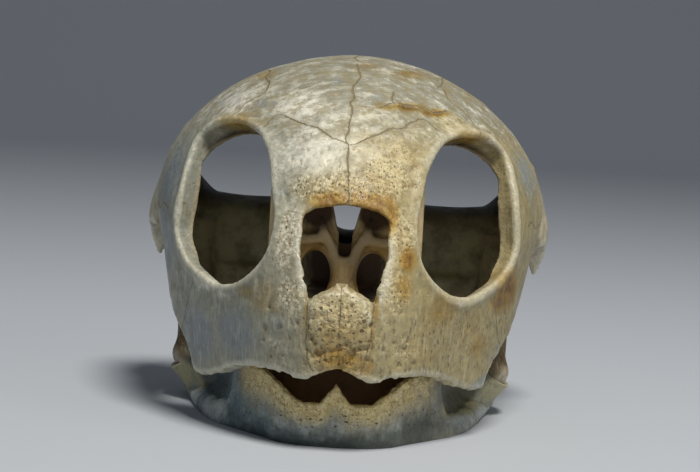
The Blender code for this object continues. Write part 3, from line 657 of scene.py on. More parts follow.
# Patches on the cranium: x, y, z of the middle, reach along each, strength.
patches = dict(
    # pale smooth bone
    ivory=(
        (-6, 19, 62, 11, 12, 6.5, 1.1), (8, 18, 61, 7, 12, 6, 0.85), (-12, 32, 71, 10, 12, 4, 0.75),
        (2, 26, 69, 12, 10, 4, 0.7), (16, 27, 68, 7, 9, 4, 0.6), (-11.5, 10, 46, 2.6, 6, 9, 0.75),
        (11, 10, 46, 2.4, 6, 8, 0.8), (0, 1, 31, 6.5, 5, 4.5, 0.95), (-10, 6, 33, 3.5, 5, 6, 0.5),
        (9.5, 6, 30, 2.5, 5, 5, 0.4), (0, 100, 68, 30, 26, 14, 0.45), (-18, 34, 72, 6, 8, 3, 0.6),
        (26, 26, 33, 10, 9, 3, 0.35), (-26, 26, 32, 10, 9, 3, 0.55), (24, 35, 68.5, 9, 8, 3.5, 0.8),
        (-27, 47, 71, 9, 10, 6, 0.85),
    ),
    # rough spongy bone
    sponge=(
        (0, 0, 30.4, 8.5, 6, 5, 1.05), (0, 1, 17, 9, 6, 2, 0.7), (0, 12, 54.5, 9, 6, 4.5, 1),
        (8, 15, 57.5, 7, 7, 6.5, 1), (-8, 13, 54, 6, 7, 3.5, 0.85), (10.5, 20, 62.5, 6, 9, 4, 0.62),
        (12, 10, 46, 4, 7, 9, 0.75), (-12, 9, 44, 4, 7, 10, 0.75), (11, 6, 34, 5, 6, 6, 0.8),
        (-10.5, 5, 32, 5, 6, 7, 0.7), (14, 6, 22, 8, 6, 5, 0.55), (-14, 6, 22, 8, 6, 5, 0.45),
        (4, 20, 65, 5, 8, 2, 0.6), (28, 26, 20, 9, 9, 7, 0.42), (-27, 26, 20, 9, 9, 7, 0.36),
        (-22, 58, 76, 5, 12, 4, 0.5), (22, 40, 70, 8, 8, 3, 0.5),
    ),
    # round pits
    pitted=(
        (0, 0, 25, 9.5, 6, 10, 1.3), (8, 15, 57.5, 8, 8, 6.5, 0.75), (-2, 12, 54, 9, 8, 3.5, 0.7),
        (12, 8, 40, 4, 8, 11, 0.75), (-12, 8, 40, 4, 8, 11, 0.7), (12, 6, 20, 7, 7, 4, 0.75),
        (-12, 6, 20, 7, 7, 4, 0.7), (28, 26, 18, 9, 9, 5, 0.45),
    ),
    # ochre to brown stain
    stain=(
        (-2.6, 10, 51.3, 5.6, 5, 2.3, 1.4), (4, 10, 51.3, 6, 5, 2.5, 1.5), (8.8, 10, 49.6, 2.2, 5, 4.6, 1.3),
        (3, 12, 54.5, 11, 6, 4.5, 0.35), (-8.2, 9, 48.2, 1.2, 4, 3.5, 0.7),
        (13.4, 9.4, 40.4, 1.9, 5, 2.8, 1.1), (12.9, 7.5, 35, 2.2, 4, 3.8, 0.65),
        (34.4, 35, 30, 2.8, 6, 2.4, 1.2), (36.4, 38.5, 32.4, 3.6, 8, 4.4, 1.35),
        (0.6, 0, 19.6, 6.6, 4, 5, 0.72), (5.9, 0.6, 18.8, 1.6, 3, 1.8, 1), (-20, 13.4, 31.4, 3.6, 5, 2, 0.6),
        (-16, 10, 31, 5.5, 7, 5, 0.5), (30, 29, 21, 3, 6, 3.4, 0.55), (21, 14, 30, 6, 7, 5, 0.5),
        (17, 10, 24, 5, 6, 5, 0.25), (7.2, 1, 31, 0.6, 4, 3, 1.2), (6.8, 1, 25, 0.4, 4, 3.5, 1),
        (-7.2, 1, 29, 0.4, 4, 4.5, 0.9), (0, 0, 25, 8, 5, 8, 0.42), (11.5, 9, 45, 3, 6, 9, 0.3),
        (7.4, 31, 71.6, 3.2, 6, 0.8, 0.9), (12.2, 34, 71.8, 4.2, 6, 0.85, 1.4),
        (17.8, 37, 70.8, 4.2, 7, 0.85, 1.3), (-20, 58, 76.6, 4, 8, 1.3, 0.7), (2, 50, 80, 5, 8, 1.4, 0.55),
        (12, 51, 78.8, 6, 9, 1.2, 0.6), (24, 27, 60, 3, 9, 6, 0.5), (9, 20, 62, 9, 9, 7, 0.28),
        (27, 24, 26, 11, 9, 6, 0.3), (24, 40, 65, 8, 8, 3, 0.85), (-24, 40, 65.5, 8, 8, 3, 0.8),
        (38, 68, 15, 9, 7, 8, 0.75), (-38, 68, 15, 9, 7, 8, 0.7), (36, 70, 27, 9, 8, 6, 0.7),
        (-36, 70, 27, 9, 8, 6, 0.7), (22, 66, 76, 12, 12, 9, 0.35), (-28, 74, 72, 11, 12, 9, 0.3),
        (44, 80, 56, 10, 14, 10, 0.35), (0, 40, 58, 12, 10, 12, 0.4), (-14, 6.8, 29, 3.5, 4, 2, 0.45),
        (18, 12, 20, 7, 6, 4, 0.3), (0, 2, 34.6, 7, 4, 1.2, 0.4),
    ),
    # painted shade: bluish-grey bone where the face lies in shadow
    grey=(
        (-22, 17, 22, 10, 10, 7, 0.85), (-31, 32, 20, 9, 12, 8, 1), (-13, 6, 27, 4, 5, 6, 0.45),
        (-41, 52, 52, 8, 12, 12, 0.9), (-41, 50, 38, 7, 12, 10, 0.9), (34, 40, 18, 5, 8, 5, 0.6),
        (32, 33, 11.5, 5, 8, 3, 0.9), (-15, 15, 53, 3.5, 6, 3.5, 0.5), (-20, 37, 70.5, 4, 7, 1.4, 0.7),
        (-4, 40, 76.5, 4, 6, 1.4, 0.6), (-30, 52, 70, 8, 12, 5, 0.5), (44, 86, 42, 9, 9, 9, 0.6),
        (-44, 86, 45, 9, 9, 9, 0.7), (5, 34, 73.6, 3, 5, 1, 0.5), (0, 124, 62, 14, 12, 8, 0.3),
        (42, 54, 60, 6, 14, 11, 0.8), (1, 50, 80, 11, 9, 2.2, 0.5),
    ),
    # painted shade: dark red-brown inside of the nose and under the palate
    gloom=(
        (-6.6, 18, 48.6, 4.2, 7, 3.4, 1.3), (6.6, 18, 48.6, 4.2, 7, 3.4, 1.3),
        (-6.4, 31, 33.5, 4.4, 10, 7.5, 1.5), (6.4, 31, 33.5, 4.4, 10, 7.5, 1.5),
        (0, 24, 40.5, 1.9, 8, 2.6, 1.1), (0, 60, 34, 9.5, 36, 12, 1.4),
    ),
)
# fields of round dents on the face: how many, seed, two corners seen from the front, widest radius
dentFields = (
    (62, 26, (-6.6, 17), (6.6, 32.5), 0.8), (60, 27, (-16, 15.5), (16, 30), 0.6),
    (70, 28, (-15, 50.5), (15, 66), 0.55),
)


def patchValues(points, rows):
    # the strongest of the patches at each point, each fading like a bell curve
    total = np.zeros(len(points))
    for row in rows:
        away = ((points - np.array(row[:3])) / np.array(row[3:6])) ** 2
        total = np.maximum(total, row[6] * np.exp(-away.sum(axis=1)))
    return np.minimum(total, 1)


def dents(points, count, seed, low, high, widest):
    # round dents at random places: a bowl of one minus the square of the distance over the radius
    draw = np.random.default_rng(seed)
    x, z = draw.uniform(low[0], high[0], count), draw.uniform(low[1], high[1], count)
    radius = widest * draw.uniform(0.5, 1.0, count)
    middles = np.stack([x, depthOf(np.abs(x), z), z], axis=1)
    deep = np.zeros(len(points))
    within = np.nonzero((points[:, 1] < 40) & (points[:, 0] > low[0] - 2) & (points[:, 0] < high[0] + 2)
                        & (points[:, 2] > low[1] - 2) & (points[:, 2] < high[1] + 2))[0]
    for middle, size in zip(middles, radius):
        away = ((points[within] - middle) ** 2 @ (1, 0.2, 1)) / size**2
        deep[within] = np.maximum(deep[within], size * 0.9 * np.clip(1 - away, 0, 1))
    return deep


def craniumRelief(points, outer):
    # how far each point moves along its normal: broad swells, upright furrows on the cheeks, level
    # ones on the roof, spongy roughness round the beak, and pits
    x, y, z = points.T
    amount = cranium["relief"]
    broad = amount["swell"] * unevenness(x, y, z, 9.0, 21) + amount["ripple"] * unevenness(x, y, z, 3.2, 22)
    upright = unevenness(x / 1.1, y / 1.1, z / 7.0, 1.0, 23) * (1 - ramp(z, 50, 60)) * (1 - ramp(y, 40, 70))
    level = unevenness(x / 9.0, y / 2.2, z / 2.2, 1.0, 24) * ramp(z, 58, 68)
    rough = patchValues(points, patches["sponge"]) * unevenness(x, y, z, 1.0, 25)
    fine = amount["upright"] * upright + amount["level"] * level + amount["sponge"] * rough
    pits = sum(dents(points, *row) for row in dentFields)
    return (broad + fine - pits) * (0.2 + 0.8 * outer) - 0.15 * (1 - outer) * broad


def buildCranium():
    whole = np.concatenate([fieldGrid[:0:-1], fieldGrid])  # the left half, mirrored
    points, faces = surfaceOf(whole, (np.concatenate([-gx[:0:-1], gx]), gy, gz))
    print("surface:", len(points), "points,", len(faces), "faces")
    points = relaxed(points, faces, 2)
    outer = ramp(readGrid(domeGrid, points), -1.6, -0.4)
    points = points + pointNormals(points, faces) * craniumRelief(points, outer)[:, None]
    made = meshOf("craniumBone", points, faces)
    thinned(made, cranium["triangles"], np.clip(1.0 - outer * ramp(60 - points[:, 1], 0, 25), 0, 1))
    points = readPoints(made)[0]
    keepValues(made, "depth", readGrid(domeGrid, points))
    keepValues(made, "crowding", readGrid(crowding(fieldGrid, 4), points))
    made.data.shade_smooth()
    print("cranium:", len(made.data.polygons), "faces")
    return made


craniumPiece = buildCranium()
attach(craniumPiece, "root")
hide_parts("cranium")


# The lower jaw.
jaw = dict(
    along=420,  # sections from one end round to the other
    between=8,    # points between two corners of a section
    # x, y of the outer lower border, way it faces, lean of the upper edge, its height, width of the chewing
    # shelf, height of its inner edge and of its trough, thickness below, height of the lower border,
    # depth of the side's hollow
    rows=(
        (0, 10, -90, 4, 9.6, 16, 15.4, 9.4, 12, -0.5, 0), (6, 10.4, -80, 3.6, 9.6, 15, 15, 7.4, 11, -0.5, 0),
        (11.3, 12.8, -58, 2.4, 13, 11.5, 14.2, 8.6, 7.5, -0.5, 0),
        (15.4, 18, -42, 1.2, 14.8, 8, 13.6, 10.4, 5.4, -0.5, 0),
        (20.9, 25, -33, -1, 15.6, 6.6, 13.8, 11.8, 6, -0.5, 0.3),
        (26.6, 33.4, -28, -2.6, 16.2, 5.6, 14.6, 13.3, 7.4, -0.5, 1),
        (30.2, 42.9, -24, -2, 18.6, 5.4, 18, 16.7, 7.6, -0.5, 3.5),
        (32.2, 51.5, -20, -0.6, 17.2, 5, 16.6, 15.3, 7, -0.5, 4),
        (33.7, 59.8, -16, 2.3, 10, 7, 9.6, 8.3, 6.3, -0.5, 2.8),
        (34.6, 66.5, -8, 5.2, 7.5, 10.2, 7.3, 6, 6.4, -0.5, 0.8),
        (35.4, 72, -2, 4.6, 7.4, 9.6, 7.1, 5.8, 6.4, -0.3, 0.3),
        (35.6, 76.5, 4, 2.6, 7, 6, 6.8, 5.5, 4.2, 2.4, 0),
    ),
    spike=(3.1, 4.3),  # half width and height of the point in the middle
    relief=dict(swell=0.20, ripple=0.10, raggedEdge=0.3, ledge=1.3),
    # for each corner of a section, how much it belongs to the inner side, and to the stained upper edge
    inner=(1, 0.3, 0, 0, 0, 0, 0, 0, 0.3, 1, 0.9, 1, 1, 1),
    upper=(0, 0, 0, 0, 0.3, 0.8, 1, 1, 1, 0.6, 0.2, 0, 0, 0),
)
# patches on the jaw: x, y, z of the middle, reach along each, strength
jawPatches = dict(
    khaki=(
        (-38, 64, 6.5, 5, 8, 5, 1.3), (37, 63, 7.5, 6, 8, 5, 1.2), (29, 50, 4.4, 7, 14, 1.5, 1.2),
        (25, 35, 5.6, 4, 7, 2, 0.9), (-31.5, 59, 5.5, 3.5, 7, 3, 0.9), (34, 60, 6.5, 3, 5, 2.5, 0.8),
    ),
    # painted light: pale bluish bone along the lower border where it catches the light, over paler bone
    pale=(
        (0, 6, 4.6, 24, 14, 2.4, 0.33), (-27.5, 38, 3, 5, 9, 2.4, 1.1), (-33, 54, 2.4, 5, 8, 2.6, 0.95),
        (28, 42, 3, 6, 12, 2.4, 0.65), (33, 57, 2.8, 5, 8, 2.5, 0.75), (-20, 24, 2.5, 6, 8, 2.6, 0.1),
        (18, 22, 5, 8, 10, 3, 0.2),
    ),
)


def jawSections():
    # a closed outline carried round the jaw: its corners lean, go up and thicken as the rows say
    rows = np.array(jaw["rows"], float)
    knots = np.arange(len(rows))
    at = knots[-1] * np.linspace(0, 1, jaw["along"]) ** 1.25
    found = curvesThrough(np.column_stack([knots, rows]), at)
    x, y, turn, lean, high, shelf, shelfZ, trough, thick, low, dish = found
    halfWidth, spikeHeight = jaw["spike"]
    high = high + spikeHeight * np.clip(1 - x / halfWidth, 0, 1) ** 1.25
    tall = high - low
    out = np.stack([
        -thick, -thick + 1.0, 0 * x - 0.6, 0.2 * lean + 0.2, 0.5 * lean - dish, 0.85 * lean - 0.7 * dish,
        lean, lean - 0.7, lean - 1.8, lean - 0.55 * shelf, lean - shelf, lean - shelf - 0.3, -thick,
    ])
    up = np.stack([
        low + 1.2, low, low, low + 1.4 + 0.45 * dish, low + 0.45 * tall, low + 0.75 * tall, high - 0.6, high,
        high - 0.4, trough, shelfZ, shelfZ - 1.8, low + 0.45 * tall,
    ])
    outline = np.stack([out, up], axis=0).transpose(1, 2, 0).reshape(len(out), -1)
    ring = smoothLine(outline, jaw["between"], closed=True).reshape(-1, len(x), 2)
    angle = np.radians(turn)
    places = [x + ring[:, :, 0] * np.cos(angle), y + ring[:, :, 0] * np.sin(angle), ring[:, :, 1]]
    return np.stack(places, axis=2).transpose(1, 0, 2)


def jawRings():
    # the hind ends close on rings that shrink towards their middle like a quarter circle
    side = jawSections()
    last = side[-1]
    middle = last.mean(axis=0)
    onwards = (last - side[-2]).mean(axis=0)
    onwards /= np.linalg.norm(onwards)
    turn = np.linspace(0, math.pi / 2, 9)[1:]
    closing = [middle + (last - middle) * max(math.cos(a), 0.02) + onwards * 1.6 * math.sin(a) for a in turn]
    side = np.concatenate([side, np.array(closing)])
    rings = np.concatenate([side[:0:-1] * (-1, 1, 1), side])
    rings[..., 2] = np.maximum(rings[..., 2], 0)
    return rings


def buildJaw():
    rings = jawRings()
    n, m = rings.shape[:2]
    here, j = np.meshgrid(np.arange(n - 1) * m, np.arange(m), indexing="ij")
    beside, onwards = (j + 1) % m, here + m
    faces = np.stack([onwards + j, onwards + beside, here + beside, here + j], axis=-1).reshape(-1, 4)
    points = np.concatenate([rings.reshape(-1, 3), rings[0].mean(axis=0)[None], rings[-1].mean(axis=0)[None]])
    k = np.arange(m)
    firstCap = np.stack([(k + 1) % m, np.full(m, n * m), k], axis=1)
    lastCap = np.stack([np.full(m, n * m + 1), (n - 1) * m + (k + 1) % m, (n - 1) * m + k], axis=1)
    print("jaw:", len(points), "points")
    x, y, z = points.T
    amount = jaw["relief"]
    relief = amount["swell"] * unevenness(x, y, z, 6.0, 31) + amount["ripple"] * unevenness(x, y, z, 2.2, 32)
    # the upper edge in front is ragged
    edge = amount["raggedEdge"] * unevenness(x, y, z, 1.3, 35) * ramp(z, 5.5, 8.0) * (1 - ramp(y, 26, 34))
    relief = relief + edge
    # the side's hollow steps down to a ledge at its lower edge
    corner = np.arange(m) / jaw["between"]

    def cornerValues(places, values):
        return np.concatenate([np.tile(np.interp(corner, places, values), n), [0, 0]])

    back, height = y + 0.8 * unevenness(x, y, z, 5.0, 33), z + 0.5 * unevenness(x, y, z, 4.0, 34)
    sunk = ramp(height, 3.9, 5.3) * (1 - ramp(height, 11, 14.5))
    sunk = sunk * ramp(back, 31.5, 35.5) * (1 - ramp(back, 57, 63))
    relief = relief - amount["ledge"] * sunk * cornerValues((2, 3, 6, 7), (0, 1, 1, 0))
    lifted = ramp(z, 0.0, 2.0) * ramp(62 - y, 0, 4)
    points = points + pointNormals(points, faces) * (relief * lifted)[:, None]
    faces = np.concatenate([faces[:, [0, 1, 2]], faces[:, [0, 2, 3]], firstCap, lastCap])
    made = meshOf("jawBone", points, faces)
    # values for the material: the inner side and the trough, the stained band at the front's upper edge,
    # the hollow, the patches, and the side distance from the suture behind the front bone
    x, y, z = points.T
    inner = cornerValues(np.arange(14), jaw["inner"])
    outside = 1 - np.clip(inner * 2, 0, 1)
    seam = y - 45.5 - 2.2 * np.sin(z * 0.55) - np.where(x > 0, 0.8, 0)
    near = (1 - ramp(np.abs(seam), 2.6, 4.6)) * outside
    shallow = 0.4 * np.exp(-((y - 50) / 12) ** 2 - ((z - 8.0) / 3.8) ** 2)
    keepValues(made, "inner", inner)
    keepValues(made, "band", cornerValues(np.arange(14), jaw["upper"]) * (1 - ramp(y, 24, 34)))
    keepValues(made, "hollow", np.maximum(sunk, shallow) * outside)
    keepValues(made, "seamA", np.stack([seam, near, 0 * near], axis=1))
    for name, rows in jawPatches.items():
        keepValues(made, name, patchValues(points, rows))
    made.data.shade_smooth()
    return made


jawPiece = buildJaw()
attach(jawPiece, "root")
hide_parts("mandible")


# Sutures and cracks: each is in one of three sets, A to C, so that those that meet are in different sets.
seams = dict(
    # seen from the front, on the face and the front of the roof: x, z
    front=(
        ("A", (0, 50.5), (0.3, 53), (-0.2, 57), (-0.4, 60.5), (-0.4, 63.3), (-1.2, 64.4), (-0.7, 66),
         (-0.5, 68.3), (-0.1, 70.4), (-0.7, 71.8), (0.1, 73.2), (-0.6, 75.2), (0.5, 76.6), (0.9, 78),
         (0.2, 80.6)),
        ("B", (-0.6, 63.6), (-2.3, 64.2), (-4.3, 64.8), (-7.2, 66.3), (-11, 67.2), (-13.4, 67.9),
         (-15.6, 68.6), (-17.4, 67.9), (-18.6, 66)),
        ("C", (-0.6, 63.4), (1.3, 63.8), (4.6, 65.4), (6.9, 66.4), (8.8, 67.3), (11, 67.3), (12.7, 68.6),
         (15.5, 69.2), (18.4, 67.2)),
        ("A", (-19.4, 75.6), (-19.5, 74.5), (-20.4, 72.8), (-22.2, 71.6), (-24.3, 70.2), (-26.2, 67.2)),
        ("A", (18.6, 77.8), (20.2, 75.8), (21.6, 73.4), (24.4, 71.6), (26.6, 69.2), (28, 66.6)),
        ("B", (6.2, 71.6), (8.4, 72.5), (10.4, 72.4), (13, 72.2), (15.4, 71.8), (17.6, 70.7), (20.4, 71.2)),
        ("C", (8.6, 74.6), (8.3, 73.4), (8.8, 72.4)),
        ("A", (0.1, 35.2), (-0.2, 33), (0.1, 30.5), (-0.1, 28), (0, 25.5)),
        ("B", (-7, 33), (-6.9, 30), (-6.9, 27), (-6.8, 23.5), (-6.3, 20.2), (-5.4, 17.6)),
        ("B", (6.9, 33), (6.8, 30.5), (6.6, 28), (6.4, 24.5), (5.9, 21), (5.3, 18.4)),
        ("A", (-33, 31), (-33.8, 27), (-34.6, 23), (-35.4, 20)),
        ("A", (33.2, 32), (33.9, 28), (34.4, 24), (35.2, 20.5)),
    ),
    # seen from the side, behind the orbit, down the cheek and over the ear: y, z
    side=(
        ("A", (47.5, 46), (52, 46.8), (57, 45.2), (62, 46.4), (67, 45.4), (71, 46.6)),
        ("B", (71, 46.6), (70, 42), (68.4, 37), (69, 32), (67.6, 27), (66.8, 23)),
        ("C", (71, 46.6), (75, 51), (80, 55), (86, 57.5), (93, 59), (100, 60.5)),
    ),
    # seen from above, on the roof behind: x, y
    roof=(
        ("B", (0.2, 55), (-0.6, 60), (0.5, 66), (-0.4, 72), (0.6, 78), (-0.3, 84), (0.2, 90), (0, 97)),
        ("C", (-0.4, 57), (-4, 58.4), (-8, 56.8), (-12, 58.2), (-16, 57), (-20, 55.4)),
        ("A", (0.2, 57.6), (4, 56.4), (8, 58.4), (12, 57), (16, 58), (19.6, 56.6)),
        ("B", (-19.5, 48), (-20.5, 53), (-20, 60), (-22.5, 67), (-24, 74), (-27, 81), (-29.5, 90)),
        ("B", (18.8, 50), (19.8, 56), (20, 63), (22.8, 69), (24.2, 76), (27.6, 83), (29.8, 91)),
    ),
)


def seamLines():
    # every suture as a line in space, on the outside of the skull
    sets = {"A": [], "B": [], "C": []}
    for view, rows in seams.items():
        for letter, *points in rows:
            a, b = smoothLine(points, 4).T
            if view == "front":
                lines = [(a, depthOf(np.abs(a), b), b)]
            elif view == "roof":
                lines = [(a, b, turningPoint(lambda z: domeRatio(a, b, z) < 1, len(a), 30.0, 90.0))]
            else:
                out = turningPoint(lambda x: domeRatio(x, a, b) < 1, len(a), 0.0, 60.0)
                lines = [(-out, a, b), (out, a, b)]
            sets[letter] += [np.stack(line, axis=1) for line in lines]
    return sets


def seamValues(points, normals, lines):
    # for each point, how far to the side of the nearest line it is, and 1 near that line
    offset, nearness = np.full(len(points), 9.0), np.zeros(len(points))
    nearest = np.full(len(points), 9.0)
    for line in lines:
        close = (points > line.min(axis=0) - 6) & (points < line.max(axis=0) + 6)
        chosen = np.nonzero(close.all(axis=1))[0]
        p, n = points[chosen], normals[chosen]
        for k, (a, b) in enumerate(zip(line[:-1], line[1:])):
            along = b - a
            length = np.linalg.norm(along)
            share = ((p - a) @ along) / (along @ along)
            away = p - a - np.clip(share, 0, 1)[:, None] * along
            far = np.linalg.norm(away, axis=1)
            before = np.maximum(-share, 0) * length if k == 0 else np.zeros(len(p))
            after = np.maximum(share - 1, 0) * length if k == len(line) - 2 else np.zeros(len(p))
            side = np.sign(np.einsum("ij,ij->i", np.cross(along, away), n))
            better = far < nearest[chosen]
            index = chosen[better]
            nearest[index] = far[better]
            offset[index] = (far * side)[better]
            beyond = ramp(np.maximum(before, after), 0.2, 1.4)
            nearness[index] = ((1 - ramp(far, 2.6, 4.6)) * (1 - beyond))[better]
    return offset, nearness


def markCranium():
    points, normals = readPoints(craniumPiece)
    outside = 1 - ramp(-readGrid(domeGrid, points), 1.0, 2.2)
    for letter, lines in seamLines().items():
        offset, nearness = seamValues(points, normals, lines)
        keepValues(craniumPiece, "seam" + letter, np.stack([offset, nearness * outside, 0 * offset], axis=1))
    for name, rows in patches.items():
        keepValues(craniumPiece, name, patchValues(points, rows))
    print("sutures and stains marked")


markCranium()


# Nodes: a signal is what comes out of one, and sums, products and the like of signals are Math nodes.
class Signal:
    def __init__(self, socket):
        self.socket, self.tree = socket, socket.id_data

    def maths(self, operation, other=0.0):
        return addNode("Math", {0: self, 1: other}, operation=operation)

    def __add__(self, other):
        return self.maths("ADD", other)

    def __sub__(self, other):
        return self.maths("SUBTRACT", other)

    def __rsub__(self, other):
        return addNode("Math", {0: other, 1: self}, operation="SUBTRACT")

    def __mul__(self, other):
        return self.maths("MULTIPLY", other)

    def __truediv__(self, other):
        return self.maths("DIVIDE", other)

    def rise(self, low, high, first=0.0, last=1.0):
        # from first to last while the signal goes from low to high, by smoothstep
        ends = {"Value": self, "From Min": low, "From Max": high, "To Min": first, "To Max": last}
        return addNode("MapRange", ends, interpolation_type="SMOOTHSTEP")

    def beside(self, output):
        # another output of the same node
        return Signal(self.socket.node.outputs[output])

    def into(self, socket):
        self.tree.links.new(self.socket, socket)


def addNode(kind, inputs, output=0, tree=None, **settings):
    # adds a node to the tree of its first linked input, or to the one given
    linked = [value for value in inputs.values() if isinstance(value, Signal)]
    node = (tree or linked[0].tree).nodes.new("ShaderNode" + kind)
    for name, value in settings.items():
        setattr(node, name, value)
    for name, value in inputs.items():
        if isinstance(value, Signal):
            value.into(node.inputs[name])
        else:
            node.inputs[name].default_value = value
    return Signal(node.outputs[output])


def larger(a, b):
    return a.maths("MAXIMUM", b)


def noise(vector, scale, detail=3.0, roughness=0.55, distortion=0.0):
    return addNode("TexNoise", {"Vector": vector, "Scale": scale, "Detail": detail, "Roughness": roughness,
                                "Distortion": distortion})


def stretched(vector, scale):
    return addNode("Mapping", {"Vector": vector, "Scale": scale})


def vectorMaths(operation, a, b):
    # two vectors, or a vector and the number that scales it
    return addNode("VectorMath", {0: a, "Scale" if operation == "SCALE" else 1: b}, operation=operation)


def separate(vector):
    return [addNode("SeparateXYZ", {0: vector}, k) for k in range(3)]


def blend(share, a, b, way="MIX"):
    return addNode("Mix", {0: share, 6: a, 7: b}, 2, data_type="RGBA", blend_type=way)


def placeGroup(group, **inputs):
    return addNode("Group", inputs, node_tree=group)


def newGroup(name, inputs, outputs):
    # a node group with named sockets: an input is a number, a colour (four numbers) or a vector (three
    # numbers or none); gives the group, its inputs as signals and its output sockets
    tree = bpy.data.node_groups.new(name, "ShaderNodeTree")
    for title, value in inputs.items():
        kind = "Float" if isinstance(value, float) else "Color" if value and len(value) == 4 else "Vector"
        socket = tree.interface.new_socket(name=title, in_out="INPUT", socket_type="NodeSocket" + kind)
        if value is not None:
            socket.default_value = value
    for title in outputs:
        kind = "NodeSocketColor" if title == "Color" else "NodeSocketFloat"
        tree.interface.new_socket(name=title, in_out="OUTPUT", socket_type=kind)
    given = {socket.name: Signal(socket) for socket in tree.nodes.new("NodeGroupInput").outputs}
    return tree, given, tree.nodes.new("NodeGroupOutput").inputs


def pitGroup():
    # round pits in some of the cells of a flat cell pattern, each with its own size; the pattern is
    # wrapped round the face like paper round a cylinder: the angle about an upright axis, and the height
    inputs = dict(Vector=None, Density=500.0, Share=0.5, Widest=0.35, Squeeze=(1.0, 1.0, 1.0))
    tree, given, made = newGroup("bonePits", inputs, ["Pits"])
    x, y, z = separate(given["Vector"])
    flat = addNode("CombineXYZ", {0: x.maths("ARCTAN2", -0.02 - y) * 0.045, 1: z, 2: 0.0})
    wavy = addNode("TexNoise", {"Vector": given["Vector"], "Scale": 700.0, "Detail": 1.0}, 1)
    squeezed = vectorMaths("MULTIPLY", flat, given["Squeeze"])
    moved = vectorMaths("ADD", squeezed, vectorMaths("SCALE", wavy, 0.0007))
    pattern = {"Vector": moved, "Scale": given["Density"], "Randomness": 0.85}
    distance = addNode("TexVoronoi", pattern, "Distance", voronoi_dimensions="2D")
    chance, size = (addNode("SeparateColor", {0: distance.beside("Color")}, k) for k in (0, 1))
    share = distance / (size.rise(0.0, 1.0, 0.35, 1.0) * given["Widest"])
    chosen = chance.maths("LESS_THAN", given["Share"])
    (share.rise(0.35, 1.0, 1.0, 0.0) * chosen).into(made["Pits"])
    return tree


def crumbGroup():
    # crumbly bone: rounded beads of a cell pattern, broken up by noise
    tree, given, made = newGroup("boneCrumbs", dict(Vector=None, Density=900.0), ["Crumbs"])
    place = given["Vector"]
    bent = addNode("TexNoise", {"Vector": place, "Scale": 800.0, "Detail": 2.0}, 1)
    moved = vectorMaths("ADD", place, vectorMaths("SCALE", bent, 0.0012))
    pattern = {"Vector": moved, "Scale": given["Density"]}
    distance = addNode("TexVoronoi", pattern, "Distance", feature="SMOOTH_F1")
    beads = distance.rise(0.05, 0.62, 1.0, 0.0)
    mixed = beads * 0.45 + noise(place, 1100.0, 3.0, 0.65) * 0.55 + noise(place, 480.0, 2.0, 0.6) * 0.5
    mixed.rise(0.42, 1.05).into(made["Crumbs"])
    return tree


def streakGroup():
    # fine lines: noise squeezed across one direction, upright low down and level on the roof
    tree, given, made = newGroup("boneStreaks", dict(Vector=None, Density=900.0), ["Streaks"])
    place = given["Vector"]
    upright = noise(stretched(place, (1.2, 1.2, 0.26)), given["Density"], 3.0, 0.6, 0.4)
    level = noise(stretched(place, (0.28, 0.8, 1.1)), given["Density"], 3.0, 0.6, 0.4)
    roofed = separate(place)[2].rise(0.056, 0.066)
    addNode("Mix", {0: roofed, 2: upright, 3: level}).into(made["Streaks"])
    return tree


def seamGroup():
    # a thin crooked line where the side distance kept on the points is nearly nothing
    inputs = dict(Seam=None, Vector=None, Width=0.2, Crooked=0.6)
    tree, given, made = newGroup("boneSeam", inputs, ["Line", "Halo"])
    aside, near, _ = separate(given["Seam"])
    bends = (noise(given["Vector"], 420.0, 3.0, 0.75) - 0.5) * given["Crooked"] * 2.4
    thick = given["Width"] * noise(given["Vector"], 260.0, 2.0).rise(0.3, 0.7, 0.35, 1.6)
    away = (aside + bends).maths("ABSOLUTE") / thick
    (away.rise(0.2, 1.3, 1.0, 0.0) * near).into(made["Line"])
    (away.rise(0.6, 5.0, 1.0, 0.0) * near).into(made["Halo"])
    return tree


def toneGroup():
    # bone colour between a dull and a pale tone, in cloudy patches
    inputs = dict(Vector=None, Dull=(0.4, 0.36, 0.2, 1.0), Pale=(0.72, 0.7, 0.6, 1.0), Paleness=0.5)
    tree, given, made = newGroup("boneTone", inputs, ["Color", "Clouds"])
    fine = noise(given["Vector"], 420.0, 4.0, 0.7)
    clouds = noise(given["Vector"], 90.0, 4.0, 0.6) * 0.5 + fine * 0.5
    paleness = given["Paleness"] + (clouds - 0.5) * 2.0
    base = blend(paleness.rise(0.1, 0.95), given["Dull"], given["Pale"])
    shade = fine.rise(0.30, 0.70, 0.78, 1.12)
    grey = addNode("CombineColor", {0: shade, 1: shade, 2: shade})
    blend(1.0, base, grey, "MULTIPLY").into(made["Color"])
    clouds.into(made["Clouds"])
    return tree


bonePits, boneCrumbs, boneStreaks = pitGroup(), crumbGroup(), streakGroup()
boneSeam, boneTone = seamGroup(), toneGroup()


def colours(**shades):
    return {name: (*shade, 1.0) for name, shade in shades.items()}


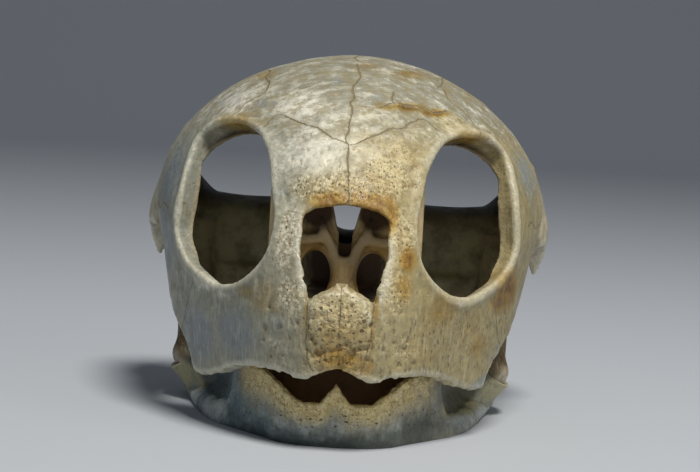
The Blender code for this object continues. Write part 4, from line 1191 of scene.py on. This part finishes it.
# Pits are given as cells per metre, share of the cells that have one, widest, and how they are squeezed;
# relief is in millimetres.
boneLook = dict(
    colours(
        ivory=(0.82, 0.79, 0.66), ivoryWarm=(0.56, 0.515, 0.32), left=(0.33, 0.33, 0.255),
        right=(0.375, 0.31, 0.15), roof=(0.34, 0.325, 0.24), back=(0.52, 0.47, 0.34),
        quadrate=(0.095, 0.062, 0.03), cream=(0.74, 0.62, 0.32), tan=(0.55, 0.44, 0.20),
        roofMark=(0.30, 0.245, 0.13), ridge=(0.66, 0.53, 0.31), grey=(0.25, 0.28, 0.285),
        stain=(0.81, 0.59, 0.22), deepStain=(0.50, 0.335, 0.125), hollow=(0.34, 0.22, 0.085),
        pore=(0.28, 0.20, 0.085), pit=(0.11, 0.07, 0.026), streak=(0.25, 0.205, 0.11),
        edge=(0.80, 0.76, 0.60), line=(0.19, 0.155, 0.085), seamHalo=(0.34, 0.28, 0.155),
        dash=(0.15, 0.115, 0.055), inside=(0.56, 0.40, 0.15), orbitLow=(0.66, 0.62, 0.37),
        orbitHigh=(0.035, 0.028, 0.018), gloom=(0.058, 0.027, 0.012), mud=(0.13, 0.075, 0.032),
    ),
    seamWidth=0.22, seamCrooked=0.5, roughness=0.48, streaks=900.0, crumbs=1300.0,
    strokes=(400.0, 0.45, 0.14, (1.0, 0.4, 1.0)), dashes=(880.0, 0.65, 0.36, (1.0, 0.42, 1.0)),
    smallPits=(950.0, 0.75, 0.30), widePits=(480.0, 0.85, 0.27),
    relief=dict(broad=0.30, fine=0.09, streaks=0.16, crumbs=0.11, bare=-0.10, pits=-0.22, strokes=-0.10,
                dashes=-0.12, line=-0.16),
)
jawLook = dict(
    colours(
        left=(0.11, 0.18, 0.21), right=(0.29, 0.285, 0.225), pale=(0.54, 0.585, 0.555),
        # dirt is a painted shade multiplied over the jaw's lower edge
        khaki=(0.50, 0.46, 0.28), dirt=(0.30, 0.33, 0.31), ochre=(0.79, 0.605, 0.235),
        dash=(0.075, 0.055, 0.028), hollow=(0.075, 0.07, 0.038), slate=(0.06, 0.085, 0.09),
        inside=(0.15, 0.08, 0.045), line=(0.16, 0.12, 0.07), pore=(0.17, 0.125, 0.055),
        edge=(0.74, 0.66, 0.45),
    ),
    seamWidth=0.2, seamCrooked=0.7, roughness=0.5, streaks=900.0, crumbs=1300.0,
    dashes=(750.0, 0.45, 0.20, (0.5, 1.0, 1.0)), smallPits=(1500.0, 0.7, 0.30),
    relief=dict(broad=0.30, streaks=0.22, crumbs=0.13, pits=-0.28, line=-0.3),
)


def startBone(name, values):
    # a new material, its tree, its place in metres and the named values kept on the points
    material = bpy.data.materials.new(name)
    material.use_nodes = True
    tree = material.node_tree
    place = addNode("TexCoord", {}, "Object", tree)
    kept = [addNode("Attribute", {}, 2, tree, attribute_name=value) for value in values.split()]
    return material, place, kept


def seamOf(place, name, look):
    side = addNode("Attribute", {}, 1, place.tree, attribute_name=name)
    return placeGroup(boneSeam, Seam=side, Vector=place, Width=look["seamWidth"], Crooked=look["seamCrooked"])


def pitsOf(place, density, share, widest, squeeze=(1.0, 1.0, 1.0)):
    return placeGroup(bonePits, Vector=place, Squeeze=squeeze, Density=density, Share=share, Widest=widest)


def heightOf(amounts, **parts):
    # adds up the parts, each times its amount
    total = None
    for name, part in parts.items():
        part = part * amounts[name]
        total = total + part if total else part
    return total


def finishBone(material, place, base, height, look, matt=0.0):
    # matt marks where nothing shines
    shader = material.node_tree.nodes["Principled BSDF"]
    base.into(shader.inputs["Base Color"])
    rough = noise(place, 260.0).rise(0.3, 0.7, look["roughness"] - 0.12, look["roughness"] + 0.14)
    larger(rough, matt).into(shader.inputs["Roughness"])
    bump = addNode("Bump", {"Height": height, "Distance": millimetre, "Strength": 1.0})
    bump.into(shader.inputs["Normal"])


def ragged(place, value, low, high, scale=260.0, swing=0.8):
    # a mask with a ragged border: the value plus noise, through a steep rise
    return (value + (noise(place, scale, 4.0, 0.65) - 0.5) * swing).rise(low, high)


def craniumMaterial():
    look = boneLook
    material, place, kept = startBone("craniumBone", "depth crowding ivory sponge pitted stain grey gloom")
    depth, crowding, ivory, sponge, pitted, stain, grey, gloom = kept
    x, y, z = separate(place)
    soft = larger(sponge, pitted * 0.8)
    below = z.rise(0.072, 0.064)
    # painted shade on the left: its dull tone is a cool grey shade, the right's is warmer bone
    warmth = x.rise(-0.016, 0.020)
    dull = blend(warmth, look["left"], look["right"])
    dull = blend(soft * x.rise(-0.014, -0.004, 0.3, 0.8), dull, look["tan"])
    dull = blend(z.rise(0.062, 0.071), dull, look["roof"])
    dull = blend(y.rise(-0.012, 0.020), dull, look["back"])
    # painted shade: low and behind, the quadrate region darkens to deep brown, partly its own orange-brown
    dull = blend(z.rise(0.032, 0.024) * y.rise(-0.012, -0.004), dull, look["quadrate"])
    pale = blend(warmth, look["ivory"], look["ivoryWarm"])
    pale = blend(soft * x.rise(-0.014, -0.004, 0.35, 0.85), pale, look["cream"])
    tone = placeGroup(boneTone, Vector=place, Dull=dull, Pale=pale, Paleness=ivory)
    # painted shade: the grey patches turn the bone bluish-grey
    base = blend(ragged(place, grey, 0.2, 0.9), tone, look["grey"])
    streaks = placeGroup(boneStreaks, Vector=place, Density=look["streaks"])
    plain = 1.0 - sponge * 0.7
    base = blend(streaks.rise(0.54, 0.70, 0.0, 0.6) * plain, base, look["streak"])
    base = blend(streaks.rise(0.45, 0.32, 0.0, 0.22), base, look["edge"])
    # brown and pale blotches drawn out sideways on the roof
    blotches = noise(stretched(place, (0.62, 0.8, 1.0)), 400.0, 4.0, 0.72)
    roofed, rightSide = z.rise(0.060, 0.068), x.rise(-0.004, 0.014, 1.0, 1.35)
    base = blend(blotches.rise(0.50, 0.62, 0.0, 0.66) * roofed * rightSide, base, look["roofMark"])
    base = blend(blotches.rise(0.47, 0.34, 0.0, 0.45) * roofed * rightSide, base, look["ivory"])
    # short grey strokes on the smooth bone, and dark upright dashes on the cheeks
    strokes = pitsOf(place, *look["strokes"])
    base = blend(strokes * plain * below * 0.5, base, look["streak"])
    cheeks = z.rise(0.032, 0.026) * y.rise(-0.020, -0.030)
    dashes = pitsOf(place, *look["dashes"]) * cheeks * plain * x.rise(-0.030, 0.030, 0.35, 1.0)
    base = blend(dashes * 0.8, base, look["dash"])
    # where the smooth outer layer has gone, the bone is crumbly and full of pores
    bare = ragged(place, sponge, 0.38, 0.60)
    crumbs = placeGroup(boneCrumbs, Vector=place, Density=look["crumbs"])
    base = blend(bare * crumbs.rise(0.25, 0.75, 0.10, 0.65), base, pale)
    base = blend(bare * crumbs.rise(0.34, 0.04, 0.0, 0.5), base, look["pore"])
    small = pitsOf(place, *look["smallPits"]) * soft.rise(0.3, 0.8, 0.05, 0.8)
    small = small * pitted.rise(0.4, 0.9, 1.0, 0.75)
    wide = pitsOf(place, *look["widePits"]) * pitted.rise(0.55, 0.9)
    pits = below * larger(small, wide)
    base = blend(pits.rise(0.05, 0.85, 0.0, 0.8), base, look["pit"])
    # painted shade with some brown staining darkens the hollows, edges are rubbed pale
    base = blend(crowding.rise(0.54, 0.70, 0.0, 0.8), base, look["hollow"])
    rubbed = crowding.rise(0.30, 0.42, 0.55, 0.0) * depth.rise(-2.4, -1.2) * crumbs.rise(0.2, 0.7, 0.65, 1.0)
    base = blend(rubbed, base, look["edge"])
    # the stain tints what is under it
    fine = noise(place, 330.0, 4.0, 0.7)
    tinted = (stain + (fine - 0.5) * 0.55).rise(0.05, 0.80) * stain.rise(0.03, 0.2)
    base = blend(tinted, base, blend(1.0, base, look["stain"], "MULTIPLY"))
    deep = stain.rise(0.65, 1.0) * fine.rise(0.40, 0.60, 0.1, 0.8)
    base = blend(deep, base, blend(1.0, base, look["deepStain"], "MULTIPLY"))
    lineA, lineB, lineC = (seamOf(place, name, look) for name in ("seamA", "seamB", "seamC"))
    line = larger(larger(lineA, lineB), lineC)
    halo = larger(larger(lineA.beside("Halo"), lineB.beside("Halo")), lineC.beside("Halo"))
    base = blend(halo * 0.45, base, look["seamHalo"])
    base = blend(line * 0.8, base, look["line"])
    # the inside: tan near the nose, olive low in the orbits; painted shade makes it dark higher up, in the
    # passages, in deep hollows and where the gloom patches lie
    upper = ragged(place, z.rise(0.040, 0.050), 0.1, 0.9, 110.0, 0.6)
    orbitTone = blend(upper, look["orbitLow"], look["orbitHigh"])
    within = blend(y.rise(-0.036, -0.024), look["inside"], orbitTone)
    within = blend(noise(place, 170.0, 4.0, 0.65).rise(0.40, 0.62, 0.0, 0.55), within, look["mud"])
    within = blend(crowding.rise(0.60, 0.76, 0.0, 0.85), within, look["gloom"])
    within = blend(crowding.rise(0.33, 0.45, 0.75, 0.0), within, look["ridge"])
    dark = ragged(place, gloom, 0.2, 0.75, 300.0, 0.5)
    within = blend(dark, within, look["gloom"])
    base = blend(depth.rise(-2.4, -5.0, 0.0, 0.95), base, within)
    height = heightOf(
        look["relief"], broad=noise(place, 420.0, 3.0, 0.6), fine=noise(place, 1300.0, 2.0, 0.6),
        streaks=streaks, crumbs=crumbs * bare.rise(0.0, 1.0, 0.15, 1.0), bare=bare, pits=pits,
        strokes=strokes * below, dashes=dashes, line=line,
    )
    finishBone(material, place, base, height, look, dark)
    return material


def jawMaterial():
    look = jawLook
    material, place, kept = startBone("jawBone", "inner band hollow khaki pale")
    inner, band, hollow, khaki, paler = kept
    x, y, z = separate(place)
    # painted shade: the left side is darker and bluish, the right plainer grey-brown bone
    dull = blend(x.rise(-0.030, 0.030), look["left"], look["right"])
    # painted light: the pale patches lighten the lower border
    tone = placeGroup(boneTone, Vector=place, Dull=dull, Pale=look["pale"], Paleness=paler + 0.15)
    tinted = blend(ragged(place, khaki, 0.15, 0.8, 200.0, 0.5), tone, look["khaki"])
    ochre = ragged(place, band, 0.10, 0.95, 260.0, 0.55)
    base = blend(ochre, tinted, blend(0.15, look["ochre"], tone))
    streaks = placeGroup(boneStreaks, Vector=place, Density=look["streaks"])
    base = blend(streaks.rise(0.52, 0.68, 0.0, 0.4), base, look["pore"])
    crumbs = placeGroup(boneCrumbs, Vector=place, Density=look["crumbs"])
    base = blend(ochre * crumbs.rise(0.30, 0.80, 0.0, 0.4), base, look["edge"])
    base = blend(ochre * crumbs.rise(0.30, 0.02, 0.0, 0.35), base, look["pore"])
    # pits, and dark dashes in a row along the chin
    chin = z.rise(0.002, 0.004) * z.rise(0.0085, 0.0065) * y.rise(-0.030, -0.040)
    dashes = pitsOf(place, *look["dashes"]) * chin
    pits = larger(pitsOf(place, *look["smallPits"]) * ochre.rise(0.0, 0.6, 0.15, 0.8), dashes)
    base = blend(pits * 0.75, base, look["pore"])
    base = blend(dashes * 0.7, base, look["dash"])
    # painted shade in the side's hollow: bluish slate on the left, dark olive on the right
    shaded = blend(x.rise(-0.010, 0.010), look["slate"], look["hollow"])
    base = blend(ragged(place, hollow, 0.25, 0.9, 200.0, 0.5) * 0.85, base, shaded)
    line = seamOf(place, "seamA", look)
    base = blend(line * 0.7, base, look["line"])
    # painted shade with some brown stain: the inner side and the trough are dark red-brown
    base = blend(inner, base, look["inside"])
    # painted shade: the lower edge is darkened, more of it on the right
    level = z - x.rise(0.004, 0.020, 0.0, 0.004) + (tone.beside("Clouds") - 0.5) * 0.004
    dirty = level.rise(0.0055, 0.0) * y.rise(-0.036, -0.046, 0.15, 0.9)
    base = blend(dirty, base, blend(1.0, base, look["dirt"], "MULTIPLY"))
    height = heightOf(
        look["relief"], broad=noise(place, 400.0, 3.0, 0.6), streaks=streaks,
        crumbs=crumbs * ochre.rise(0.0, 1.0, 0.25, 1.0), pits=pits, line=line,
    )
    finishBone(material, place, base, height, look)
    return material


for piece, material in ((craniumPiece, craniumMaterial()), (jawPiece, jawMaterial())):
    piece.data.materials.clear()
    piece.data.materials.append(material)
print("materials made")


# Floor, lights and camera, in metres.
studio = dict(
    floorColour=(0.52, 0.55, 0.59),
    floorFront=-3.0,
    floorHalfWidth=4.0,
    bend=(1.4, 1.0),  # where the floor starts to bend up, and the bend's radius
    backdrop=3.5,     # height of the backdrop
    # place, aim, size, power, colour
    key=((0.18, -0.42, 1.0), (0, -0.02, 0.04), 0.35, 10.5, (1.0, 0.97, 0.92)),
    fill=((0.80, -0.55, 0.45), (0, 0, 0.04), 0.5, 0.9, (1.0, 0.95, 0.88)),
    skyColour=(0.80, 0.88, 1.0),
    skyStrength=0.15,
)
view = dict(
    tilt=4.5, swing=0.4, roll=3.3,  # degrees
    aim=(1.1, -68.0, 45.48),        # millimetres
    distance=0.44,
    lens=110.9,
    sensor=36.0,
)


def buildFloor():
    # a flat floor that bends up into a backdrop along a quarter circle behind the skull
    start, radius = studio["bend"]
    turn = np.linspace(0, math.pi / 2, 24)
    back = np.concatenate([[studio["floorFront"], 0.0], start + radius * np.sin(turn), [start + radius]])
    up = np.concatenate([[0.0, 0.0], radius - radius * np.cos(turn), [studio["backdrop"]]])
    across = np.array((-studio["floorHalfWidth"], studio["floorHalfWidth"]))
    points = np.stack(np.broadcast_arrays(across[:, None], back[None], up[None]), axis=-1).reshape(-1, 3)
    n = len(back)
    k = np.arange(n - 1)
    mesh = bpy.data.meshes.new("floor")
    mesh.from_pydata(points.tolist(), [], np.stack([k, n + k, n + k + 1, k + 1], axis=1).tolist())
    mesh.shade_smooth()
    made = bpy.data.objects.new("floor", mesh)
    bpy.context.scene.collection.objects.link(made)
    paint = bpy.data.materials.new("floorPaint")
    paint.use_nodes = True
    shader = paint.node_tree.nodes["Principled BSDF"]
    shader.inputs["Base Color"].default_value = (*studio["floorColour"], 1)
    shader.inputs["Roughness"].default_value = 0.9
    mesh.materials.append(paint)
    return made


def softLight(name):
    at, aim, size, power, shade = studio[name]
    light = bpy.data.lights.new(name, "AREA")
    light.shape = "DISK"
    light.size = size
    light.energy = power
    light.color = shade
    made = bpy.data.objects.new(name, light)
    made.location = at
    made.rotation_euler = (Vector(aim) - Vector(at)).to_track_quat("-Z", "Y").to_euler()
    bpy.context.scene.collection.objects.link(made)


def buildSky():
    world = bpy.data.worlds.new("studio")
    world.use_nodes = True
    background = world.node_tree.nodes["Background"]
    background.inputs["Color"].default_value = (*studio["skyColour"], 1)
    background.inputs["Strength"].default_value = studio["skyStrength"]
    bpy.context.scene.world = world


def buildCamera():
    # looks slightly down on the face from straight ahead, turned a little about its own line of sight
    tilt, swing, roll = (math.radians(view[name]) for name in ("tilt", "swing", "roll"))
    back = Vector((math.sin(swing) * math.cos(tilt), -math.cos(swing) * math.cos(tilt), math.sin(tilt)))
    right = Vector((math.cos(swing), math.sin(swing), 0))
    up = back.cross(right)
    turnedRight = right * math.cos(roll) + up * math.sin(roll)
    turnedUp = up * math.cos(roll) - right * math.sin(roll)
    lens = bpy.data.cameras.new("camera")
    lens.sensor_width = view["sensor"]
    lens.lens = view["lens"]
    lens.clip_start = 0.01
    made = bpy.data.objects.new("camera", lens)
    at = Vector(view["aim"]) * millimetre + back * view["distance"]
    made.matrix_world = Matrix.Translation(at) @ Matrix((turnedRight, turnedUp, back)).transposed().to_4x4()
    bpy.context.scene.collection.objects.link(made)
    bpy.context.scene.camera = made


buildFloor()
softLight("key")
softLight("fill")
buildSky()
bpy.context.scene.view_settings.view_transform = "Standard"
buildCamera()
